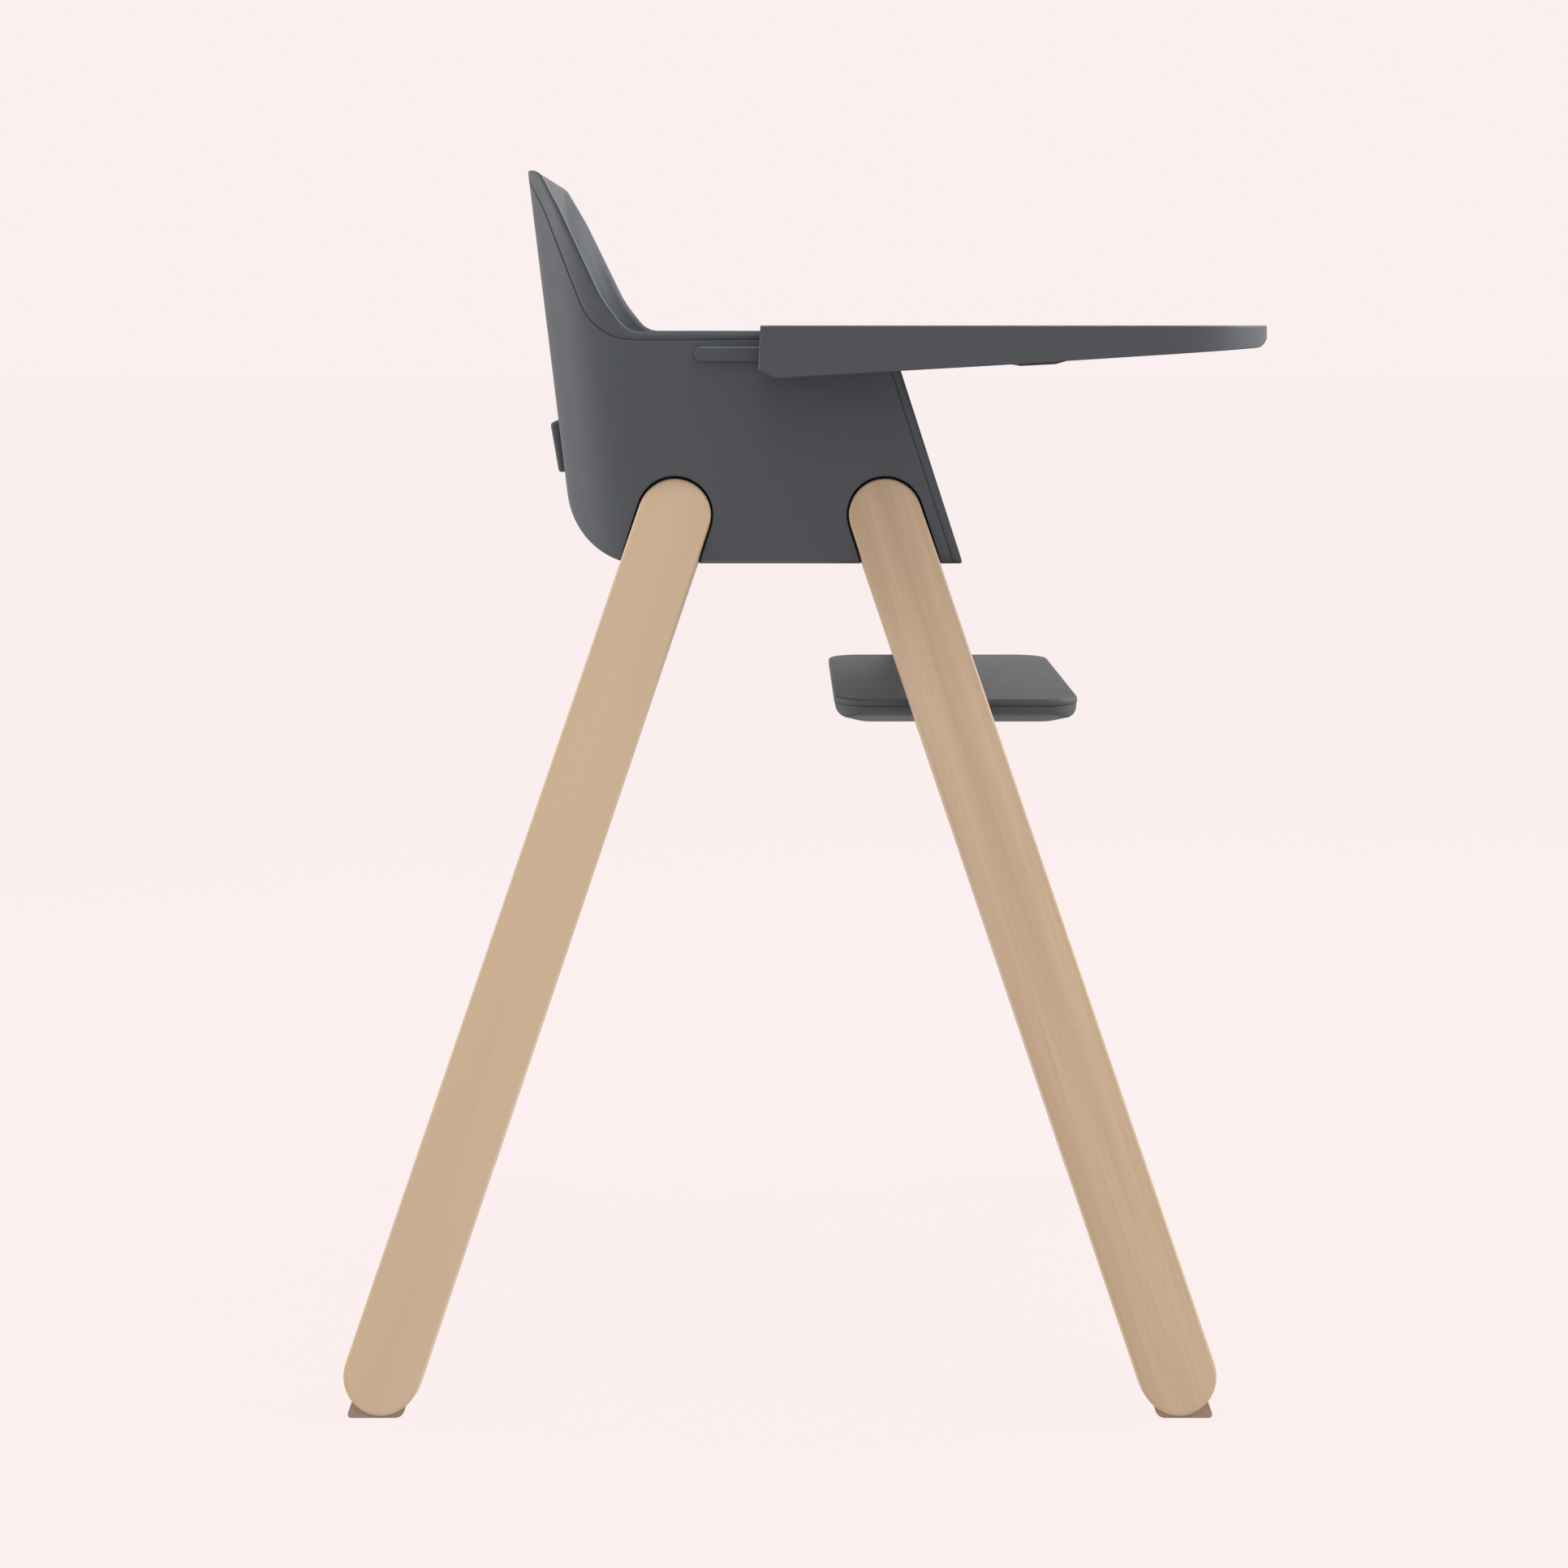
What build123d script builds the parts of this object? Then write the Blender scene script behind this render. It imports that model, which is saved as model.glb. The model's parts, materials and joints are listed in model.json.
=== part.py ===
"""Baby high chair: moulded seat, splayed wooden legs, sliding tray and height-adjustable footrest.

Millimetres. +X is the child's forward direction, +Y the child's left, +Z up, and Z = 0 is the floor.
Lengths along X are laid out from the mid-line between the legs. Every piece is then shifted by
ORIGIN_SHIFT, which puts the frame's origin below the middle of the chair's overall length.
"""

import os
from math import atan, cos, degrees, radians, sin

from build123d import *

os.makedirs("parts", exist_ok=True)

# ---------------------------------------------------------------- driving dimensions

RUN_CLEARANCE = 0.4  # between pieces that slide on each other
FIT_GAP = 0.3  # between fixed mouldings

# Seat form: sheared plan outline, cut by a side profile
SEAT_HALF = 174.0
SEAT_BOTTOM = 609.5
RIM_TOP = 788.8
SEAT_TOP = 915.0
BACK_FOOT = (-161.96, 609.5)  # where the line of the back meets the level of the bottom
BACK_SLOPE = -0.123
FRONT_TOP = (83.2, 788.8)
FRONT_FOOT = (140.9, 609.5)
CORNER_RADIUS = 70.0
HEEL_RADIUS = 64.0
LOW_EDGE_RADIUS = 12.0
SHELL_WALL = 3.0
RIM_WALL = 12.0
BUCKET_WALL = 3.0
STRIP_WIDTH = 7.0
APRON_SETBACK = 4.0
CREST = [(-117.9, 788.8), (-137.3, 813.7), (-170.9, 883.6), (-188.6, 915.0)]
CREST_RADII = [20.0, 90.0, 120.0, 12.0]
PARTING = [(-142.4, 782.3), (-184.6, 885.7), (-201.8, 915.9)]
PARTING_RADII = [45.0, 120.0]

# Inside of the seat
SEAT_SURFACE = 648.0
FLOOR_HALF = 128.0
POCKET_TOP = 684.0
POCKET_HALF = 137.0
SIDE_BEND = 60.0
SEAT_BEND = 45.0
SEAT_LIP = 16.0

# Legs: flat boards with round ends, splayed to the side
LEG_WIDTH = 56.0
LEG_THICK = 24.0
LEG_TOP = (81.0, 176.0, 648.4)  # centre of the round end, on the board's outer face
LEG_FOOT_X = 289.5
LEG_FOOT_Z = 30.5
SPLAY = atan(0.1942)
LEG_EDGE = 2.0
RECESS_GAP = 1.6
SOCKET_WALL = 3.0
WOOD_CLEARANCE = 2.5  # between the wood and the floor

# Foot pads, set in the legs and pinned
PAD_OUTER_X = 315.0
PAD_INNER_X = 272.5
PAD_FRONT_DEPTH = 5.0
PAD_THICK = 14.0
PAD_HEIGHT = 20.0
PIN_RADIUS = 2.0
PIN_LEVEL = 13.0

# Leg bolts, their sleeves in the wood, and the steel frames they pull against
BOLT_LEVEL = 634.0
BOLT_SPREAD = 17.0
BOLT_RADIUS = 3.0
BOLT_HEAD = 5.0
INSERT_RADIUS = 4.5
INSERT_DEPTH = 8.0
PLATE_THICK = 3.0
PLATE_SIZE = (50.0, 25.0)
BEAM_WIDTH = 20.0
BEAM_WALL = 2.0
BEAM_HALF = 144.0

# Tray
TRAY_HALF = 245.0
TRAY_REAR = -14.6
TRAY_FRONT = 376.0
TRAY_TOP = 793.5
TRAY_CORNER = 88.0
TRAY_WALL = 3.0
TRAY_DECK = 777.6
TRAY_DECK_THICK = 2.6
COVER_SIDE = 6.0
COVER_ARM = 3.2
PAN_SURFACE = 783.0
PAN_THICK = 2.7
PAN_BORDER = 16.0
PAN_CORNER = 44.0
ARM_INNER = 147.0
GROOVE_FRONT = 141.0
BELLY_DEPTH = 112.0
BELLY_HALF = 128.0
BELLY_CORNER = 80.0

# Rails on the seat's sides, and the tray's latches that run in them
RAIL_PROUD = 4.0
RAIL_LOW = 765.5
RAIL_HIGH = 777.3
RAIL_REAR = -66.0
RAIL_FRONT = 80.0
RAIL_PEGS = (-46.0, 66.0)
PEG_RADIUS = 2.4
CHANNEL_WALL = 4.0
CHANNEL_PLATE = 2.6
LATCH_X = 52.0
LATCH_HALF = 6.0
LATCH_GROOVE = 5.0
LATCH_GROOVE_DEPTH = 3.0
LATCH_TRAVEL = 3.0
TRAY_BACKWARD = 45.0  # how far the tray slides towards the child

# Tray release
PADDLE_LINE = [(193.5, 774.4), (193.5, 760.3), (224.0, 761.9), (233.5, 764.6), (233.5, 774.4)]
PADDLE_HALF = 46.0
PADDLE_TRAVEL = 8.0
LINK_INNER = 187.0
LINK_OUTER = 199.0
LINK_THICK = 2.0
LINK_PIN_RADIUS = 1.5

# Footrest
FOOTREST_HALF = 154.5
FOOTREST_REAR = 42.5
FOOTREST_FRONT = 233.2
FOOTREST_TOP = 503.4
FOOTREST_CORNER = 28.0
FOOTREST_BAND = 5.0
FOOTREST_THICK = 21.5
FOOTREST_TRAVEL = 90.0
HULL_WALL = 2.6
HULL_SWEEP = 26.0  # how far in the underside has reached full depth
HULL_SHOULDER = 7.0
GUIDE_WIDTH = 18.0
GUIDE_DEPTH = 8.0
BAR_HALF_X = 7.0
BAR_HALF_Z = 3.6
BAR_INNER = 96.0
FOOTREST_SCREW_X = 45.0
FOOTREST_SCREW_Y = 70.0

# Crotch post
POST_LINE = [(72.0, SEAT_SURFACE), (105.0, SEAT_SURFACE), (91.0, 750.0), (69.0, 750.0)]
POST_HALF = 21.0
POST_SCREWS = (80.0, 97.0)

# Seat screws, up through the shell into the bucket
SEAT_SCREW_PLACES = [(x, y) for x in (-58.0, 46.0) for y in (-74.0, 74.0)]

# Harness
STRAP_WIDTH = 25.0
STRAP_THICK = 1.6
LAP_SLOT_Y = 58.0
LAP_SLOT_Z = 694.0
LAP_FRONT = -75.0
CROTCH_SLOT_X = 56.0
TONGUE_X = (-16.0, 9.0)
TONGUE_Y = 14.0
BUCKLE_X = (0.0, 42.0)
BUCKLE_HALF = 28.0
BUCKLE_HEIGHT = 15.0
BUTTON_RADIUS = 8.5
BUTTON_TRAVEL = 3.0
PLATE_LOW = 676.0
PLATE_HIGH = 715.0
PLATE_HALF = 82.0
PLATE_SCREW_Y = 18.0

# ---------------------------------------------------------------- worked-out values

LEG_SLOPE = (LEG_FOOT_X - LEG_TOP[0]) / (LEG_TOP[2] - LEG_FOOT_Z)
LEG_DROP = (LEG_TOP[2] - LEG_FOOT_Z) / cos(SPLAY)  # along the board's own plane
LEG_RUN = LEG_FOOT_X - LEG_TOP[0]
FRONT_SLOPE = (FRONT_FOOT[0] - FRONT_TOP[0]) / (FRONT_FOOT[1] - FRONT_TOP[1])
BACK_TILT = degrees(atan(-BACK_SLOPE))
BACK_DIR = (-sin(radians(BACK_TILT)), 0, cos(radians(BACK_TILT)))
REAR_REACH = LEG_FOOT_X + LEG_WIDTH / 2
ORIGIN_SHIFT = (REAR_REACH - TRAY_FRONT) / 2
CORNERS = [("front_right", 1, -1), ("front_left", 1, 1), ("rear_right", -1, -1), ("rear_left", -1, 1)]
SIDES = [("right", -1), ("left", 1)]
FAR = 400.0  # longer than any cut needs to be
BEHIND = -300.0  # an X behind the whole chair
ABOVE = SEAT_TOP + 60
BELOW = SEAT_BOTTOM - 40
UNDER_TRAY = 700.0
RAIL_MIDDLE = (RAIL_LOW + RAIL_HIGH) / 2
PLATE_MIDDLE = (PLATE_LOW + PLATE_HIGH) / 2


def back_x(z):
    """X of the back's outer line at height z."""
    return BACK_FOOT[0] + BACK_SLOPE * (z - BACK_FOOT[1])


def front_x(z, setback=0.0):
    """X of the slanted front edge at height z, moved back by setback."""
    return FRONT_FOOT[0] + FRONT_SLOPE * (z - FRONT_FOOT[1]) - setback


def save(piece, name):
    """Shift a finished piece into the chair's frame, label it and write its STEP file."""
    moved = piece.moved(Location((ORIGIN_SHIFT, 0, 0)))
    moved.label = name
    export_step(moved, f"parts/{name}.step")


def save_group(pieces, name):
    """Write identical fasteners as one node of separate solids."""
    save(Compound([solid for piece in pieces for solid in piece.solids()]), name)


def leg_plane(end, side, depth=0.0):
    """A leg board's own plane: origin at the top centre, X forward, Y along the board, Z outward."""
    normal = Vector(0, side * cos(SPLAY), sin(SPLAY))
    face = Plane(origin=(end * LEG_TOP[0], side * LEG_TOP[1], LEG_TOP[2]), x_dir=(1, 0, 0), z_dir=normal)
    return face.offset(-depth)


def up_board(side):
    """Sign of the leg plane's own Y that points up the board."""
    return -side


def leg_x(z):
    """X of a front leg's centre line at height z (the rear legs mirror it)."""
    return LEG_TOP[0] + LEG_SLOPE * (LEG_TOP[2] - z)


def on_board(end, side, z):
    """The point of a leg's centre line at height z, in the board's own plane."""
    return (end * (leg_x(z) - LEG_TOP[0]), up_board(side) * (z - LEG_TOP[2]) / cos(SPLAY))


def prism(points, radii, half=FAR):
    """A side profile (X, Z), with a radius at each corner, extended to both sides of the mid-plane."""
    with BuildPart() as block:
        with BuildSketch(Plane.XZ):
            with BuildLine():
                FilletPolyline(*points, radius=radii, close=True)
            make_face()
        extrude(amount=half, both=True)
    return block.part


def cross_prism(points, radii):
    """A front profile (Y, Z), with a radius at each corner, extended along X past both ends."""
    with BuildPart() as block:
        with BuildSketch(Plane.YZ.offset(BEHIND)):
            with BuildLine():
                FilletPolyline(*points, radius=radii, close=True)
            make_face()
        extrude(amount=FAR - BEHIND)
    return block.part


def slab(x, y, z):
    """A box between three pairs of limits, each given in either order."""
    with BuildPart() as box:
        with Locations(((x[0] + x[1]) / 2, (y[0] + y[1]) / 2, (z[0] + z[1]) / 2)):
            Box(abs(x[1] - x[0]), abs(y[1] - y[0]), abs(z[1] - z[0]))
    return box.part


def rod(plane, place, radius, near, far):
    """A round bar along a plane's normal, between two depths below the plane."""
    with BuildPart() as bar:
        with BuildSketch(plane.offset(-near)):
            with Locations(place):
                Circle(radius)
        extrude(amount=near - far)
    return bar.part


def upright(x, y, radius, low, high):
    """A round bar along Z between two heights."""
    return rod(Plane.XY, (x, y), radius, -low, -high)


def board(end, side, grow, near, far):
    """A leg-shaped slab: the leg's outline grown by grow, between two depths below its outer face."""
    foot = Vector(end * LEG_RUN, -up_board(side) * LEG_DROP)
    with BuildPart() as plank:
        with BuildSketch(leg_plane(end, side, near)):
            SlotCenterPoint(foot / 2, foot, LEG_WIDTH + 2 * grow)
        extrude(amount=near - far)
    return plank.part


def bolt_places(end, side):
    """The two bolt axes of one leg, in that leg's own plane."""
    middle, y = on_board(end, side, BOLT_LEVEL)
    return [(middle - BOLT_SPREAD, y), (middle + BOLT_SPREAD, y)]


def strap_slot(x, y, z, tilt):
    """A slot for webbing, through the seat along the direction that tilt gives."""
    plane = Plane(origin=(x, y, z), x_dir=(0, 1, 0), z_dir=(cos(radians(tilt)), 0, sin(radians(tilt))))
    with BuildPart() as slot:
        with BuildSketch(plane):
            SlotOverall(STRAP_WIDTH + 5, 5.0)
        extrude(amount=30, both=True)
    return slot.part


def plate_screw(side, radius, near, far):
    """One of the harness plate's screws, or its hole, square to the back."""
    plane = Plane(origin=(back_x(PLATE_MIDDLE), 0, PLATE_MIDDLE), x_dir=(0, -1, 0), z_dir=(-1, 0, BACK_SLOPE))
    return rod(plane, (-side * PLATE_SCREW_Y, 0), radius, near, far)


# ---------------------------------------------------------------- seat form


def seat_column(inset):
    """The seat's plan outline, rounded at the rear, carried up along the slope of the back."""
    half = SEAT_HALF - inset
    rear = back_x(SEAT_BOTTOM) + inset
    with BuildPart() as column:
        with BuildSketch(Plane.XY.offset(SEAT_BOTTOM)) as outline:
            with Locations(((rear + FAR) / 2, 0)):
                Rectangle(FAR - rear, 2 * half)
            fillet(outline.vertices().group_by(Axis.X)[0], CORNER_RADIUS - inset)
        extrude(amount=FAR, dir=BACK_DIR)
    return column.part


def seat_sides(inset):
    """The seat's front outline, with round lower edges."""
    half = SEAT_HALF - inset
    low = SEAT_BOTTOM + inset
    radius = LOW_EDGE_RADIUS - inset
    return cross_prism([(-half, ABOVE), (-half, low), (half, low), (half, ABOVE)], [0, radius, radius, 0])


def seat_inside(grow, floor):
    """The space inside the seat, grown outward by grow, above a floor at the given height."""
    back = RIM_WALL - grow
    half = SEAT_HALF - RIM_WALL + grow
    side_line = [
        (FAR, ABOVE),
        (back_x(ABOVE) + back, ABOVE),
        (back_x(floor) + back, floor),
        (front_x(floor, APRON_SETBACK), floor),
        (front_x(BELOW, APRON_SETBACK), BELOW),
        (FAR, BELOW),
    ]
    front_line = [
        (-half - 6, ABOVE),
        (-half, RIM_TOP),
        (-POCKET_HALF - grow, POCKET_TOP),
        (-FLOOR_HALF - grow, BELOW),
        (FLOOR_HALF + grow, BELOW),
        (POCKET_HALF + grow, POCKET_TOP),
        (half, RIM_TOP),
        (half + 6, ABOVE),
    ]
    with BuildPart() as inside:
        add(prism(side_line, [0, 0, SEAT_BEND + grow, SEAT_LIP + grow, 0, 0]))
        add(cross_prism(front_line, [0, 0, SIDE_BEND, 0, 0, SIDE_BEND, 0, 0]), mode=Mode.INTERSECT)
        add(seat_column(RIM_WALL - grow), mode=Mode.INTERSECT)
    return inside.part


crest_line = [FRONT_FOOT, FRONT_TOP] + CREST + [(back_x(SEAT_TOP), SEAT_TOP), BACK_FOOT]
crest_line_radii = [2.0, 3.0] + CREST_RADII + [2.0, HEEL_RADIUS]

with BuildPart() as seat_form:
    add(prism(crest_line, crest_line_radii))
    add(seat_column(0), mode=Mode.INTERSECT)
    add(seat_sides(0), mode=Mode.INTERSECT)

# The bucket shows on the outside above the parting line and ahead of the front strip's line
rim_line = [
    (front_x(BELOW, STRIP_WIDTH), BELOW),
    (front_x(PARTING[0][1], STRIP_WIDTH), PARTING[0][1]),
    *PARTING,
    (BEHIND, PARTING[-1][1] + 80),
    (FAR, PARTING[-1][1] + 80),
    (FAR, BELOW),
]
rim_zone = prism(rim_line, [0, 6.0] + PARTING_RADII + [0, 0, 0, 0])

shell_line = [
    (front_x(BELOW, STRIP_WIDTH + FIT_GAP), BELOW),
    (front_x(PARTING[0][1] - FIT_GAP, STRIP_WIDTH + FIT_GAP), PARTING[0][1] - FIT_GAP),
    *[(x - FIT_GAP, z - FIT_GAP) for x, z in PARTING],
    (BEHIND, PARTING[-1][1] - FIT_GAP),
    (BEHIND, BELOW),
]
shell_zone = prism(shell_line, [0, 6.0] + PARTING_RADII + [0, 0, 0])

lap_slots = [strap_slot(back_x(LAP_SLOT_Z), side * LAP_SLOT_Y, LAP_SLOT_Z, BACK_TILT) for _, side in SIDES]
crotch_slot = strap_slot(CROTCH_SLOT_X, 0, SEAT_SURFACE, 90)

# ---------------------------------------------------------------- seat bucket

BOSS_RADIUS = 6.0
SCREW_RADIUS = 2.0

apron_x = [front_x(SEAT_BOTTOM, APRON_SETBACK), front_x(ABOVE, APRON_SETBACK)]
tub_line = [(apron_x[0], SEAT_BOTTOM), (apron_x[1], ABOVE), (BEHIND, ABOVE), (BEHIND, SEAT_BOTTOM)]
tub = seat_inside(BUCKET_WALL, SEAT_SURFACE - BUCKET_WALL)

with BuildPart() as seat_bucket:
    add(seat_form.part)
    add(rim_zone, mode=Mode.INTERSECT)
    add(seat_form.part & tub & prism(tub_line, 0))
    add(seat_inside(0, SEAT_SURFACE), mode=Mode.SUBTRACT)
    for slot in lap_slots:
        add(slot, mode=Mode.SUBTRACT)
    add(crotch_slot, mode=Mode.SUBTRACT)
    for x, y in SEAT_SCREW_PLACES:
        add(upright(x, y, BOSS_RADIUS, SEAT_BOTTOM + SHELL_WALL + 0.1, SEAT_SURFACE - 1))
        add(upright(x, y, SCREW_RADIUS + 0.05, SEAT_BOTTOM + 1, SEAT_BOTTOM + 27), mode=Mode.SUBTRACT)
    for x in POST_SCREWS:
        add(upright(x, 0, 2.6, BELOW, SEAT_SURFACE + 1), mode=Mode.SUBTRACT)
save(seat_bucket.part, "seat_bucket")

# ---------------------------------------------------------------- seat outer shell

hollow_line = [
    (FAR, SEAT_BOTTOM + SHELL_WALL),
    (FAR, ABOVE),
    (back_x(ABOVE) + SHELL_WALL, ABOVE),
    (back_x(SEAT_BOTTOM + SHELL_WALL) + SHELL_WALL, SEAT_BOTTOM + SHELL_WALL),
]
with BuildPart() as shell_hollow:
    add(prism(hollow_line, [0, 0, 0, HEEL_RADIUS - SHELL_WALL]))
    add(seat_column(SHELL_WALL), mode=Mode.INTERSECT)
    add(seat_sides(SHELL_WALL), mode=Mode.INTERSECT)

with BuildPart() as seat_outer_shell:
    add(seat_form.part)
    add(shell_zone, mode=Mode.INTERSECT)
    add(shell_hollow.part, mode=Mode.SUBTRACT)
    for _, end, side in CORNERS:
        socket = board(end, side, RECESS_GAP + SOCKET_WALL, -30, LEG_THICK + RECESS_GAP + SOCKET_WALL)
        add(seat_form.part & shell_zone & socket)
    for _, end, side in CORNERS:
        add(board(end, side, RECESS_GAP, -30, LEG_THICK + RECESS_GAP), mode=Mode.SUBTRACT)
        for place in bolt_places(end, side):
            add(rod(leg_plane(end, side), place, BOLT_RADIUS + 0.2, 0, 60), mode=Mode.SUBTRACT)
    for slot in lap_slots:
        add(slot, mode=Mode.SUBTRACT)
    for _, side in SIDES:
        for x in RAIL_PEGS:
            peg_hole = rod(Plane.XZ, (x, RAIL_MIDDLE), PEG_RADIUS + 0.1, side * 190, side * 160)
            add(peg_hole, mode=Mode.SUBTRACT)
        add(plate_screw(side, SCREW_RADIUS + 0.1, -1, SHELL_WALL + 1), mode=Mode.SUBTRACT)
    for x, y in SEAT_SCREW_PLACES:
        add(upright(x, y, SCREW_RADIUS + 0.2, BELOW, SEAT_BOTTOM + 5), mode=Mode.SUBTRACT)
        add(upright(x, y, 2 * SCREW_RADIUS + 0.2, BELOW, SEAT_BOTTOM + 1.9), mode=Mode.SUBTRACT)
save(seat_outer_shell.part, "seat_outer_shell")

seat_screws = []
for x, y in SEAT_SCREW_PLACES:
    shank = upright(x, y, SCREW_RADIUS, SEAT_BOTTOM + 1, SEAT_BOTTOM + 26)
    seat_screws.append(shank + upright(x, y, 2 * SCREW_RADIUS, SEAT_BOTTOM + 0.3, SEAT_BOTTOM + 1.8))
save_group(seat_screws, "seat_screws")

# ---------------------------------------------------------------- legs and feet

PLATE_DEPTH = LEG_THICK + RECESS_GAP + SOCKET_WALL + FIT_GAP
BOLT_SEAT = PLATE_DEPTH + PLATE_THICK


def foot_pad(end, side, grow):
    """A foot pad: flat on the floor, its outer side in line with the leg, set in a slot in the wood."""
    top = PAD_HEIGHT + grow
    outer = PAD_OUTER_X + grow
    inner = PAD_INNER_X - grow
    outline = [(end * outer, 0), (end * (outer - LEG_SLOPE * top), top), (end * inner, top), (end * inner, 0)]
    near = PAD_FRONT_DEPTH - grow
    with BuildPart() as pad:
        add(prism(outline, [2.5, 4.0, 4.0, 7.0]))
        add(board(end, side, LEG_WIDTH, near, near + PAD_THICK + 2 * grow), mode=Mode.INTERSECT)
    return pad.part


def footrest_guide(side):
    """The groove down the inner face of a front leg, in which a footrest carrier runs."""
    low = on_board(1, side, FOOTREST_TOP - 58 - FOOTREST_TRAVEL)
    high = on_board(1, side, FOOTREST_TOP + 32)
    with BuildPart() as groove:
        with BuildSketch(leg_plane(1, side, LEG_THICK - GUIDE_DEPTH)):
            SlotCenterPoint((Vector(*low) + Vector(*high)) / 2, low, GUIDE_WIDTH)
        extrude(amount=-(GUIDE_DEPTH + 1))
    return groove.part


leg_bolts = []
leg_inserts = []
foot_pins = []
for name, end, side in CORNERS:
    plane = leg_plane(end, side)
    pin_x, pin_y = on_board(end, side, PIN_LEVEL + 2)
    pin_at = (pin_x - end * 3, pin_y)
    with BuildPart() as leg:
        add(board(end, side, 0, 0, LEG_THICK))
        fillet(leg.faces().filter_by(plane).edges(), LEG_EDGE)
        add(slab((-FAR, FAR), (-FAR, FAR), (-30, WOOD_CLEARANCE)), mode=Mode.SUBTRACT)
        for place in bolt_places(end, side):
            add(rod(plane, place, INSERT_RADIUS, INSERT_DEPTH, LEG_THICK + 1), mode=Mode.SUBTRACT)
        add(foot_pad(end, side, 0.1), mode=Mode.SUBTRACT)
        add(rod(plane, pin_at, PIN_RADIUS, 2.5, LEG_THICK + 1), mode=Mode.SUBTRACT)
        if end > 0:
            add(footrest_guide(side), mode=Mode.SUBTRACT)
    save(leg.part, f"leg_{name}")

    with BuildPart() as pad:
        add(foot_pad(end, side, 0))
        add(rod(plane, pin_at, PIN_RADIUS, 0, LEG_THICK), mode=Mode.SUBTRACT)
    save(pad.part, f"foot_pad_{name}")

    foot_pins.append(rod(plane, pin_at, PIN_RADIUS - 0.02, 2.6, LEG_THICK - 0.5))
    for place in bolt_places(end, side):
        sleeve = rod(plane, place, INSERT_RADIUS - 0.02, INSERT_DEPTH + 0.1, LEG_THICK - 0.2)
        leg_inserts.append(sleeve - rod(plane, place, BOLT_RADIUS, INSERT_DEPTH, LEG_THICK))
        shaft = rod(plane, place, BOLT_RADIUS - 0.05, INSERT_DEPTH + 1.5, BOLT_SEAT + 1)
        head = rod(plane, place, BOLT_HEAD, BOLT_SEAT + 0.1, BOLT_SEAT + 3.5)
        leg_bolts.append(shaft + head - rod(plane, place, 1.8, BOLT_SEAT + 1.5, BOLT_SEAT + 4))

save_group(leg_bolts, "leg_bolts")
save_group(leg_inserts, "leg_inserts")
save_group(foot_pins, "foot_pins")

# ---------------------------------------------------------------- leg brackets inside the shell

BEAM_LOW = SEAT_BOTTOM + SHELL_WALL + 1.5
BEAM_HIGH = SEAT_SURFACE - BUCKET_WALL - 4.5
BEAM_HEIGHT = BEAM_HIGH - BEAM_LOW


def bracket_frame(end):
    """A steel cross tube with a tilted end plate that each leg bolts to, through its socket."""
    middle_z = (BEAM_LOW + BEAM_HIGH) / 2
    with BuildPart() as bracket:
        with BuildSketch(Plane.XZ):
            with Locations((end * leg_x(middle_z), middle_z)):
                Rectangle(BEAM_WIDTH, BEAM_HEIGHT)
                Rectangle(BEAM_WIDTH - 2 * BEAM_WALL, BEAM_HEIGHT - 2 * BEAM_WALL, mode=Mode.SUBTRACT)
        extrude(amount=BEAM_HALF, both=True)
        for _, side in SIDES:
            with BuildSketch(leg_plane(end, side, PLATE_DEPTH)):
                with Locations(on_board(end, side, BOLT_LEVEL)):
                    RectangleRounded(*PLATE_SIZE, 4)
            extrude(amount=-PLATE_THICK)
        for _, side in SIDES:
            for place in bolt_places(end, side):
                hole = rod(leg_plane(end, side), place, BOLT_RADIUS + 0.2, 0, PLATE_DEPTH + 10)
                add(hole, mode=Mode.SUBTRACT)
    return bracket.part


save(bracket_frame(1), "leg_bracket_front")
save(bracket_frame(-1), "leg_bracket_rear")

# ---------------------------------------------------------------- tray rails

GROOVE_START = LATCH_X - LATCH_HALF - TRAY_BACKWARD - 1

for name, side in SIDES:
    radius = (RAIL_HIGH - RAIL_LOW) / 2
    with BuildPart() as rail:
        with BuildSketch(Plane.XZ.offset(-side * SEAT_HALF)):
            with Locations(((RAIL_REAR + radius + RAIL_FRONT) / 2, RAIL_MIDDLE)):
                Rectangle(RAIL_FRONT - RAIL_REAR - radius, 2 * radius)
            with Locations((RAIL_REAR + radius, RAIL_MIDDLE)):
                Circle(radius)
        extrude(amount=-side * RAIL_PROUD)
        outer = rail.faces().sort_by(Axis.Y)[0 if side < 0 else -1]
        fillet(outer.edges(), 1.5)
        for x in RAIL_PEGS:
            peg_y = (side * (SEAT_HALF + 1), side * (SEAT_HALF - SHELL_WALL))
            add(rod(Plane.XZ, (x, RAIL_MIDDLE), PEG_RADIUS, *peg_y))
        with BuildSketch(Plane.XZ.offset(-side * (SEAT_HALF + RAIL_PROUD))):
            with Locations(((GROOVE_START + FAR) / 2, RAIL_MIDDLE)):
                Rectangle(FAR - GROOVE_START, LATCH_GROOVE)
        extrude(amount=side * LATCH_GROOVE_DEPTH, mode=Mode.SUBTRACT)
    save(rail.part, f"tray_rail_{name}")

# ---------------------------------------------------------------- tray

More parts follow.
